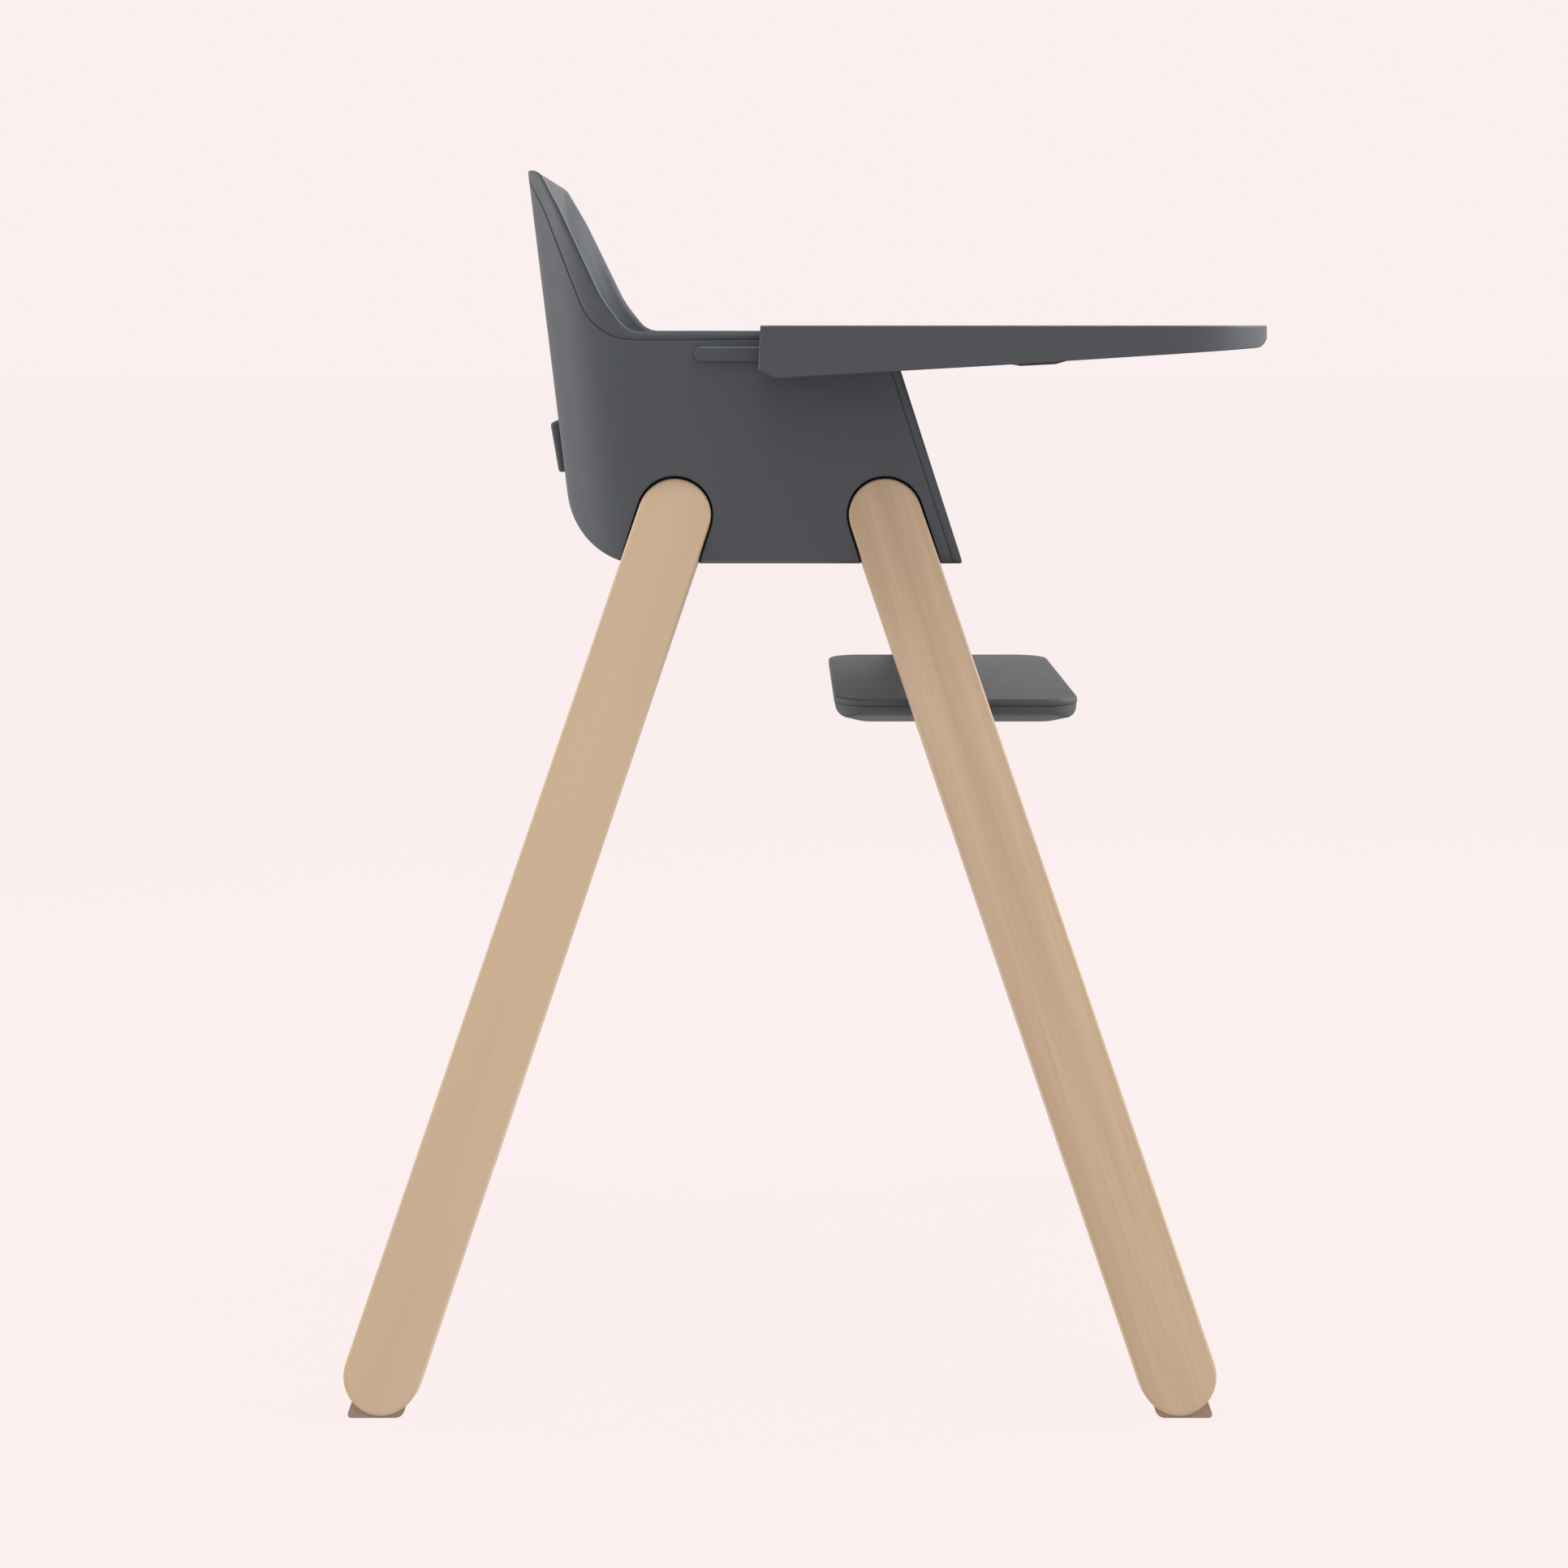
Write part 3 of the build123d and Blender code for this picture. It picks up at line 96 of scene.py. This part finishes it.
class Graph:
    """One material's node tree around a Principled shader, with short calls for the shared nodes."""

    def __init__(self, name, roughness, specular=0.5):
        self.material = bpy.data.materials.new(name)
        self.material.use_nodes = True
        self.tree = self.material.node_tree
        self.tree.nodes.clear()
        self.shader = self.add("ShaderNodeBsdfPrincipled")
        self.shader.inputs["Roughness"].default_value = roughness
        self.shader.inputs["Specular IOR Level"].default_value = specular
        surface = self.add("ShaderNodeOutputMaterial").inputs["Surface"]
        self.link(self.shader.outputs["BSDF"], surface)
        self.place = self.add("ShaderNodeTexCoord").outputs["Object"]

    def add(self, kind, **settings):
        node = self.tree.nodes.new(kind)
        for key, value in settings.items():
            setattr(node, key, value)
        return node

    def link(self, source, socket):
        self.tree.links.new(source, socket)

    def feed(self, value, socket):
        """Link an output to a socket, or set the socket to a plain value."""
        if isinstance(value, bpy.types.NodeSocket):
            self.link(value, socket)
        else:
            socket.default_value = value

    def noise(self, scale, detail=2.0, rough=0.5, place=None, distortion=0.0):
        node = self.add("ShaderNodeTexNoise")
        self.link(place or self.place, node.inputs["Vector"])
        node.inputs["Scale"].default_value = scale
        node.inputs["Detail"].default_value = detail
        node.inputs["Roughness"].default_value = rough
        node.inputs["Distortion"].default_value = distortion
        return node.outputs["Fac"]

    def stretch(self, place, scale, shift=(0, 0, 0)):
        node = self.add("ShaderNodeMapping")
        self.link(place, node.inputs["Vector"])
        node.inputs["Scale"].default_value = scale
        node.inputs["Location"].default_value = shift
        return node.outputs["Vector"]

    def turned(self, rows):
        """Object coordinates along three perpendicular directions."""
        node = self.add("ShaderNodeMapping")
        self.link(self.place, node.inputs["Vector"])
        node.inputs["Rotation"].default_value = Matrix(rows).to_euler("XYZ")
        return node.outputs["Vector"]

    def split(self, vector):
        node = self.add("ShaderNodeSeparateXYZ")
        self.link(vector, node.inputs["Vector"])
        return node.outputs

    def math(self, operation, a, b=0.0, c=0.0):
        node = self.add("ShaderNodeMath", operation=operation)
        for value, socket in zip((a, b, c), node.inputs):
            self.feed(value, socket)
        return node.outputs["Value"]

    def band(self, value, low, high, out_low=0.0, out_high=1.0):
        """A smooth change from out_low to out_high as value goes from low to high."""
        node = self.add("ShaderNodeMapRange", interpolation_type="SMOOTHSTEP")
        self.link(value, node.inputs["Value"])
        for key, number in zip(("From Min", "From Max", "To Min", "To Max"), (low, high, out_low, out_high)):
            node.inputs[key].default_value = number
        return node.outputs["Result"]

    def blend(self, factor, a, b):
        node = self.add("ShaderNodeMix", data_type="RGBA")
        self.feed(factor, node.inputs["Factor"])
        for value, socket in ((a, node.inputs[6]), (b, node.inputs[7])):
            self.feed((*value, 1.0) if isinstance(value, tuple) else value, socket)
        return node.outputs[2]

    def bump(self, height, distance, strength=1.0, under=None):
        node = self.add("ShaderNodeBump")
        self.link(height, node.inputs["Height"])
        node.inputs["Distance"].default_value = distance
        node.inputs["Strength"].default_value = strength
        if under is not None:
            self.link(under, node.inputs["Normal"])
        return node.outputs["Normal"]

    def soften(self, radius):
        """A normal that rounds off hard edges by about radius."""
        node = self.add("ShaderNodeBevel", samples=6)
        node.inputs["Radius"].default_value = radius
        return node.outputs["Normal"]

    def finish(self, colour, roughness=None, normal=None):
        self.link(colour, self.shader.inputs["Base Color"])
        if roughness is not None:
            self.link(roughness, self.shader.inputs["Roughness"])
        if normal is not None:
            self.link(normal, self.shader.inputs["Normal"])
        return self.material


def tint(colour, factor):
    """A colour made lighter or darker."""
    return tuple(min(1.0, channel * factor) for channel in colour)


def moulded(name, colour, gloss=0.0, grain=1500.0, edge=0.0015):
    """Injection-moulded plastic: soft edges, fine spark-eroded grain, faint flow marks, and light rubbing."""
    g = Graph(name, 0.5)
    flow = g.noise(9.0, detail=3.0)
    speck = g.noise(grain, detail=2.0, rough=0.6)
    rub = g.noise(38.0, detail=5.0, rough=0.7)
    base = g.blend(g.band(flow, 0.3, 0.7), tint(colour, 0.98), tint(colour, 1.02))
    base = g.blend(g.band(speck, 0.35, 0.75, 0.0, 0.35), base, tint(colour, 1.22))
    rubbed = g.band(rub, 0.3, 0.75, 0.53 - gloss, 0.57 - gloss)
    rough = g.math("ADD", rubbed, g.band(speck, 0.3, 0.7, -0.03, 0.03))
    normal = g.bump(speck, 0.00006, 0.55, g.soften(edge))
    return g.finish(base, rough, normal)


def timber(name, rows, seed, seam):
    """Lacquered beech cut along the board: drifting tone, growth lines, pores and short flecks."""
    g = Graph(name, 0.5)
    g.shader.inputs["Coat Weight"].default_value = 0.12
    g.shader.inputs["Coat Roughness"].default_value = 0.38
    along = g.turned(rows)
    shifted = g.stretch(along, (1, 1, 1), (seed, seed * 0.7, seed * 0.3))
    drift = g.noise(1.0, detail=3.0, place=g.stretch(shifted, (2.2, 40.0, 40.0)))
    sway = g.noise(1.0, detail=2.0, place=g.stretch(shifted, (2.6, 9.0, 9.0)))
    parts = g.split(shifted)
    rings = g.math("ADD", g.math("MULTIPLY", parts["Y"], 150.0), g.math("MULTIPLY", sway, 13.0))
    rings = g.math("ADD", rings, g.math("MULTIPLY", parts["Z"], 60.0))
    line = g.math("FRACT", rings)
    late = g.band(line, 0.55, 0.97)
    late = g.math("MULTIPLY", late, g.band(line, 1.0, 0.96))
    streak = g.noise(1.0, detail=4.0, rough=0.65, place=g.stretch(shifted, (9.0, 620.0, 620.0)))
    pore = g.noise(1.0, detail=1.0, place=g.stretch(shifted, (70.0, 1500.0, 1500.0)))
    fleck = g.noise(1.0, detail=1.0, place=g.stretch(shifted, (330.0, 1150.0, 1150.0)))

    base = g.blend(g.band(drift, 0.34, 0.66), BEECH, BEECH_LIGHT)
    base = g.blend(g.band(streak, 0.35, 0.75, 0.0, 0.42), base, BEECH_DARK)
    base = g.blend(g.math("MULTIPLY", late, g.band(drift, 0.3, 0.75, 0.04, 0.16)), base, BEECH_DARK)
    base = g.blend(g.band(pore, 0.63, 0.80, 0.0, 0.30), base, PORE)
    base = g.blend(g.band(fleck, 0.69, 0.82, 0.0, 0.30), base, PORE)
    if seam:
        offset, slope = seam
        across = g.split(along)
        edge = g.math("ADD", across["Y"], g.math("MULTIPLY", across["X"], slope))
        edge = g.math("ADD", edge, g.math("MULTIPLY", sway, 0.004))
        lighter = g.band(edge, offset - 0.0012, offset + 0.0012, 0.0, 0.75)
        base = g.blend(lighter, base, BEECH_LIGHT)
    rough = g.math("ADD", g.band(streak, 0.3, 0.7, 0.46, 0.56), g.band(pore, 0.6, 0.8, 0.0, 0.15))
    normal = g.bump(streak, 0.00008, 0.35, g.soften(0.002))
    normal = g.bump(g.math("MULTIPLY", pore, -1.0), 0.00010, 0.45, normal)
    return g.finish(base, rough, normal)


def elastomer(name, colour):
    """Matt rubber with a dusty, slightly uneven surface."""
    g = Graph(name, 0.8, specular=0.35)
    g.shader.inputs["Sheen Weight"].default_value = 0.15
    dust = g.noise(60.0, detail=5.0, rough=0.7)
    fine = g.noise(1100.0, detail=2.0)
    base = g.blend(g.band(dust, 0.35, 0.7), tint(colour, 0.92), tint(colour, 1.10))
    base = g.blend(g.band(fine, 0.4, 0.8, 0.0, 0.3), base, tint(colour, 1.2))
    return g.finish(base, g.band(dust, 0.3, 0.7, 0.72, 0.88), g.bump(fine, 0.00012, 0.5))


def plated(name, colour):
    """Zinc-plated steel with faint drawing lines."""
    g = Graph(name, 0.35)
    g.shader.inputs["Metallic"].default_value = 1.0
    lines = g.noise(1.0, detail=4.0, place=g.stretch(g.place, (60.0, 900.0, 900.0)))
    cloud = g.noise(70.0, detail=4.0)
    base = g.blend(g.band(cloud, 0.35, 0.7), tint(colour, 0.86), tint(colour, 1.06))
    return g.finish(base, g.band(cloud, 0.3, 0.7, 0.28, 0.46), g.bump(lines, 0.00004, 0.5))


def powder_coat(name, colour):
    """Powder-coated steel: orange-peel skin with tiny bright grains."""
    g = Graph(name, 0.45)
    peel = g.noise(420.0, detail=2.0, rough=0.4)
    grain = g.noise(2600.0, detail=1.0)
    base = g.blend(g.band(grain, 0.55, 0.8, 0.0, 0.5), colour, tint(colour, 2.2))
    return g.finish(base, g.band(peel, 0.3, 0.7, 0.38, 0.55), g.bump(peel, 0.00015, 0.6))


def woven(name, colour):
    """Polyester webbing from the strip's own UV lengths, in millimetres: ribs across, yarn crowns along, with
    painted shade between the cords and painted highlight on the crowns.
    """
    g = Graph(name, 0.75, specular=0.3)
    g.shader.inputs["Sheen Weight"].default_value = 0.35
    g.shader.inputs["Sheen Roughness"].default_value = 0.4
    strip = g.split(g.add("ShaderNodeUVMap", uv_map="strip").outputs["UV"])
    row = g.math("MULTIPLY", strip["X"], 2 * pi / YARN_LENGTH)
    rib = g.math("MULTIPLY", strip["Y"], 2 * pi / YARN_WIDTH)
    step = g.math("MULTIPLY", g.math("ROUND", g.math("DIVIDE", rib, pi)), pi)
    crown = g.math("SINE", g.math("ADD", row, step))
    cord = g.math("ABSOLUTE", g.math("SINE", rib))
    # the weave's height, used for the bump and for the painted shade and highlight
    weave_height_and_shade = g.math("MULTIPLY", cord, g.math("ADD", g.math("MULTIPLY", crown, 0.5), 0.9))
    lint = g.noise(900.0, detail=4.0, rough=0.7)
    wear = g.noise(45.0, detail=4.0)
    # painted shade in the valleys between the cords and painted highlight on the yarn crowns: the yarn colour
    # made darker and lighter with the weave's height
    base = g.blend(g.band(weave_height_and_shade, 0.15, 1.2), tint(colour, 0.55), tint(colour, 1.35))
    base = g.blend(g.band(lint, 0.45, 0.85, 0.0, 0.35), base, tint(colour, 1.9))
    base = g.blend(g.band(wear, 0.5, 0.75, 0.0, 0.25), base, tint(colour, 1.5))
    normal = g.bump(weave_height_and_shade, 0.00035, 0.8)
    return g.finish(base, g.band(lint, 0.3, 0.7, 0.68, 0.86), g.bump(lint, 0.0001, 0.4, normal))


def thread(name, colour):
    """Sewing thread with a tight twist."""
    g = Graph(name, 0.6, specular=0.4)
    twist = g.noise(2400.0, detail=2.0)
    base = g.blend(g.band(twist, 0.35, 0.7), tint(colour, 0.7), tint(colour, 1.3))
    return g.finish(base, g.band(twist, 0.3, 0.7, 0.5, 0.7), g.bump(twist, 0.0001, 0.6))


# ---------------------------------------------------------------- finishes on the CAD nodes


def dress(node, material):
    """Give every face of a CAD node one material."""
    slots = NODES[node].data.materials
    slots.clear()
    slots.append(material)


def grain_rows(node):
    """Directions along, across and through a leg board, from its two ends."""
    points = np.array([v.co for v in NODES[node].data.vertices])
    low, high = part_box(node)
    reach = 0.03
    top = points[points[:, 2] > high.z - reach].mean(axis=0)
    foot = points[points[:, 2] < low.z + reach].mean(axis=0)
    along = Vector(foot - top).normalized()
    through = FORWARD.cross(along).normalized()
    return [along, through.cross(along), through]


shell_plastic = moulded("shell_plastic", SHELL_GREY)
bucket_plastic = moulded("bucket_plastic", SHELL_GREY, gloss=0.04, edge=0.007)
footrest_plastic = moulded("footrest_plastic", SHELL_GREY, edge=0.003)
tray_plastic = moulded("tray_plastic", TRAY_GREY, gloss=0.05, grain=1900.0)
buckle_plastic = moulded("buckle_plastic", BUCKLE_GREY, gloss=0.12, grain=2400.0)
button_plastic = moulded("button_plastic", BUTTON_GREY, gloss=0.15, grain=2400.0)
rubber = elastomer("foot_rubber", TAUPE)
zinc = plated("zinc_plate", ZINC)
black_coat = powder_coat("powder_coat", BLACK_COAT)
webbing = woven("webbing", YARN)
sewing = thread("sewing_thread", THREAD)

FINISH = {
    "seat_shell_plastic": shell_plastic,
    "seat_bucket_plastic": bucket_plastic,
    "tray_plastic": tray_plastic,
    "footrest_plastic": footrest_plastic,
    "foot_elastomer": rubber,
    "steel": zinc,
    "bracket_steel": black_coat,
    "webbing": webbing,
    "buckle_plastic": buckle_plastic,
    "button_plastic": button_plastic,
}
for part in frame["record"]["subparts"]:
    if part["material_slot"] in FINISH:
        dress(part["node"], FINISH[part["material_slot"]])

REAR_SEAM = (0.004, 0.03)  # where the two boards glued into the rear right leg meet, and how that line leans
LEG_SEEDS = {"leg_front_right": 0.0, "leg_front_left": 3.1, "leg_rear_right": 7.7, "leg_rear_left": 12.3}
for leg_name, leg_seed in LEG_SEEDS.items():
    seam = REAR_SEAM if leg_name == "leg_rear_right" else None
    dress(leg_name, timber(leg_name + "_beech", grain_rows(leg_name), leg_seed, seam))

# ---------------------------------------------------------------- harness webbing

MM = 0.001
STRAP_HALF = 12.5 * MM
STRAP_THICK = 1.6 * MM
RIBBON_STEP = 3 * MM
# Half of a strap's outline, as shares of its half width and its thickness: flat, with thin rounded selvedges
SELVEDGE = [(1.0, 0.0), (0.985, 0.30), (0.94, 0.46)]
HALF_SECTION = SELVEDGE + [(0.5, 0.5), (0.0, 0.5), (-0.5, 0.5), (-0.94, 0.46), (-0.985, 0.30)]
ARC_STEPS = 14
STITCH = (2.3 * MM, 0.55 * MM, 0.35 * MM)  # length, width and height of one stitch
STITCH_PITCH = 1.25  # from stitch to stitch, in stitch lengths
STITCH_HALF = 9.5 * MM  # half the width of a sewn box
STITCH_BACK = 10 * MM  # from the tongue to the far and near ends of a sewn box
STITCH_FRONT = 1.5 * MM
BACK_LEAN = Vector((-0.122, 0, 0.9925))  # up the seat's back
SLOT_RUN = 14.2 * MM  # webbing inside the slot in the back
LAP_RADII = [4 * MM, 42 * MM, 20 * MM, 20 * MM]
CROTCH_RADIUS = 4 * MM


def rounded(points, radii):
    """A route through the points, its inner corners rounded by the radii."""
    route = [points[0]]
    for before, corner, after, radius in zip(points, points[1:], points[2:], radii):
        back = (before - corner).normalized()
        ahead = (after - corner).normalized()
        half = back.angle(ahead) / 2
        reach = radius / tan(half)
        centre = corner + (back + ahead).normalized() * sqrt(radius**2 + reach**2)
        start = (corner + back * reach - centre).normalized()
        stop = (corner + ahead * reach - centre).normalized()
        route += [centre + start.slerp(stop, step / ARC_STEPS) * radius for step in range(ARC_STEPS + 1)]
    return route + [points[-1]]


def evenly(route, step):
    """The same route with extra points, about step apart, on its longer runs."""
    dense = [route[0]]
    for a, b in zip(route, route[1:]):
        parts = max(1, int((b - a).length / step))
        dense += [a.lerp(b, i / parts) for i in range(1, parts + 1)]
    return dense


def ribbon(name, node, route, across=None):
    """Flat webbing with soft selvedges along a route, with its own lengths in millimetres as its UV map."""
    route = evenly(route, RIBBON_STEP)
    section = []
    for sign in (1, -1):
        section += [(sign * share * STRAP_HALF, sign * depth * STRAP_THICK) for share, depth in HALF_SECTION]
    mesh = bpy.data.meshes.new(name)
    build = bmesh.new()
    strip = build.loops.layers.uv.new("strip")
    rows = []
    lengths = [0.0]
    for i, place in enumerate(route):
        heading = (route[min(i + 1, len(route) - 1)] - route[max(i - 1, 0)]).normalized()
        side = across or Vector((-heading.y, heading.x, 0)).normalized()
        up = heading.cross(side)
        rows.append([build.verts.new(place + side * w + up * t) for w, t in section])
        if i:
            lengths.append(lengths[-1] + (place - route[i - 1]).length)
    count = len(section)
    for i in range(len(rows) - 1):
        for k in range(count):
            n = (k + 1) % count
            face = build.faces.new((rows[i][k], rows[i][n], rows[i + 1][n], rows[i + 1][k]))
            face.smooth = True
            ends = ((i, k), (i, n), (i + 1, n), (i + 1, k))
            for loop, (row, column) in zip(face.loops, ends):
                loop[strip].uv = (lengths[row] / MM, section[column][0] / MM)
    for row in (rows[0], rows[-1]):
        face = build.faces.new(row)
        for loop in face.loops:
            loop[strip].uv = (0, 0)
    bmesh.ops.recalc_face_normals(build, faces=build.faces)
    build.to_mesh(mesh)
    build.free()
    mesh.materials.append(webbing)
    piece = bpy.data.objects.new(name, mesh)
    bpy.context.scene.collection.objects.link(piece)
    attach(piece, "chair")
    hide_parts(node)


def stitching(name, lines):
    """Rows of short raised stitches along straight lines on a strap's upper face."""
    mesh = bpy.data.meshes.new(name)
    build = bmesh.new()
    for start, stop in lines:
        heading = (stop - start).normalized()
        turn = heading.to_track_quat("X", "Z").to_matrix().to_4x4()
        count = round((stop - start).length / (STITCH[0] * STITCH_PITCH))
        for i in range(count):
            place = start.lerp(stop, (i + 0.5) / count)
            shape = Matrix.Diagonal((STITCH[0] / 2, STITCH[1] / 2, STITCH[2] / 2, 1))
            matrix = Matrix.Translation(place) @ turn @ shape
            bmesh.ops.create_icosphere(build, subdivisions=2, radius=1.0, matrix=matrix)
    for face in build.faces:
        face.smooth = True
    build.to_mesh(mesh)
    build.free()
    mesh.materials.append(sewing)
    piece = bpy.data.objects.new(name, mesh)
    bpy.context.scene.collection.objects.link(piece)
    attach(piece, "chair")


def lap_webbing(side_name):
    """One lap strap: out of its slot in the back, down to the seat, and across to its buckle tongue."""
    low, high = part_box("lap_strap_" + side_name)
    tongue_low, tongue_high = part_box("buckle_tongue_" + side_name)
    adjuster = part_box("strap_adjuster_" + side_name)
    slot_y = (adjuster[0].y + adjuster[1].y) / 2
    tongue_y = (tongue_low.y + tongue_high.y) / 2
    level = low.z + STRAP_THICK / 2
    slot_exit = Vector((low.x + 14.3 * MM, slot_y, high.z - 1.2 * MM))
    into_seat = Vector((BACK_LEAN.z, 0, -BACK_LEAN.x))
    heel = slot_exit - BACK_LEAN * ((slot_exit.z - level) / BACK_LEAN.z)
    points = [
        slot_exit - into_seat * SLOT_RUN,
        slot_exit,
        heel,
        Vector((adjuster[1].x + 25 * MM, slot_y, level)),
        Vector((tongue_low.x - 12 * MM, tongue_y, level)),
        Vector((tongue_low.x + 3 * MM, tongue_y, level)),
    ]
    ribbon("lap_webbing_" + side_name, "lap_strap_" + side_name, rounded(points, LAP_RADII))
    top = level + STRAP_THICK / 2
    back, front = tongue_low.x - STITCH_BACK, tongue_low.x - STITCH_FRONT
    left, right = tongue_y - STITCH_HALF, tongue_y + STITCH_HALF
    corners = [Vector((x, y, top)) for x, y in ((back, left), (front, left), (front, right), (back, right))]
    lines = [(corners[i], corners[(i + 1) % 4]) for i in range(4)]
    lines += [(corners[0], corners[2]), (corners[1], corners[3])]
    stitching("lap_stitching_" + side_name, lines)


lap_webbing("right")
lap_webbing("left")

crotch_low, crotch_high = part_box("crotch_strap")
crotch_x = crotch_high.x - STRAP_THICK / 2
crotch_route = [
    Vector((crotch_x, 0, crotch_low.z)),
    Vector((crotch_x, 0, crotch_high.z - STRAP_THICK / 2)),
    Vector((crotch_low.x, 0, crotch_high.z - STRAP_THICK / 2)),
]
ribbon("crotch_webbing", "crotch_strap", rounded(crotch_route, [CROTCH_RADIUS]), LEFT)

# ---------------------------------------------------------------- floor, lights and camera

FLOOR_HALF = 40.0
FLOOR_GLOW = 0.968  # share of the floor's brightness that is its own, so that it stays even
FLOOR_TINT = 0.02  # share that it takes from the lights
SENSOR = 36.0
LENS = 66.49
SHIFT = (0.0026, -0.2925)
CAMERA_DISTANCE = 2.4


def make_floor():
    """A plain pale floor under the feet, slightly shaded where the object blocks the light."""
    mesh = bpy.data.meshes.new("floor")
    build = bmesh.new()
    bmesh.ops.create_grid(build, x_segments=1, y_segments=1, size=FLOOR_HALF)
    build.to_mesh(mesh)
    build.free()
    floor = bpy.data.objects.new("floor", mesh)
    bpy.context.scene.collection.objects.link(floor)
    paper = bpy.data.materials.new("floor_paper")
    paper.use_nodes = True
    tree = paper.node_tree
    shader = tree.nodes["Principled BSDF"]
    shader.inputs["Base Color"].default_value = (*tint(PAPER, FLOOR_TINT), 1)
    shader.inputs["Roughness"].default_value = 1.0
    shader.inputs["Specular IOR Level"].default_value = 0.0
    shader.inputs["Emission Color"].default_value = (*PAPER, 1)
    shader.inputs["Emission Strength"].default_value = FLOOR_GLOW
    mesh.materials.append(paper)


def area_light(name, place, target, size, power, colour=(1, 1, 1)):
    """A soft square light at place, turned towards target."""
    lamp = bpy.data.lights.new(name, "AREA")
    lamp.shape = "SQUARE"
    lamp.size = size
    lamp.energy = power
    lamp.color = colour
    holder = bpy.data.objects.new(name, lamp)
    bpy.context.scene.collection.objects.link(holder)
    holder.location = place
    holder.rotation_euler = (Vector(target) - Vector(place)).to_track_quat("-Z", "Y").to_euler()


def make_lights():
    """An even pale surround, a large light above, and one on each end of the chair."""
    world = bpy.data.worlds.new("surround")
    bpy.context.scene.world = world
    world.use_nodes = True
    surround = world.node_tree.nodes["Background"]
    surround.inputs["Color"].default_value = (*PAPER, 1)
    surround.inputs["Strength"].default_value = 1.0
    middle = (CAD_BOX[0] + CAD_BOX[1]) / 2
    area_light("above", middle + Vector((0.2, 0.1, 2.2)), middle, 2.2, 66.0)
    area_light("front_side", middle + Vector((2.2, 0.2, 1.5)), middle + Vector((-0.1, 0.1, 0.3)), 1.6, 60.0)
    area_light("rear_side", middle + Vector((-2.5, 0.1, 0.7)), middle + Vector((0, 0, 0.3)), 1.4, 24.0)


def make_camera():
    """The viewpoint: level with the tray, square to the chair's side, framed low by a shift."""
    lens = bpy.data.cameras.new("camera")
    lens.sensor_width = SENSOR
    lens.lens = LENS
    lens.shift_x, lens.shift_y = SHIFT
    lens.clip_end = 200.0
    camera = bpy.data.objects.new("camera", lens)
    bpy.context.scene.collection.objects.link(camera)
    legs_middle = (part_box("leg_front_right")[1].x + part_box("leg_rear_right")[0].x) / 2
    camera.location = (legs_middle, -CAMERA_DISTANCE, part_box("tray_cover")[1].z)
    camera.rotation_euler = (pi / 2, 0, 0)
    bpy.context.scene.camera = camera


make_floor()
make_lights()
make_camera()
bpy.context.scene.view_settings.view_transform = "Standard"
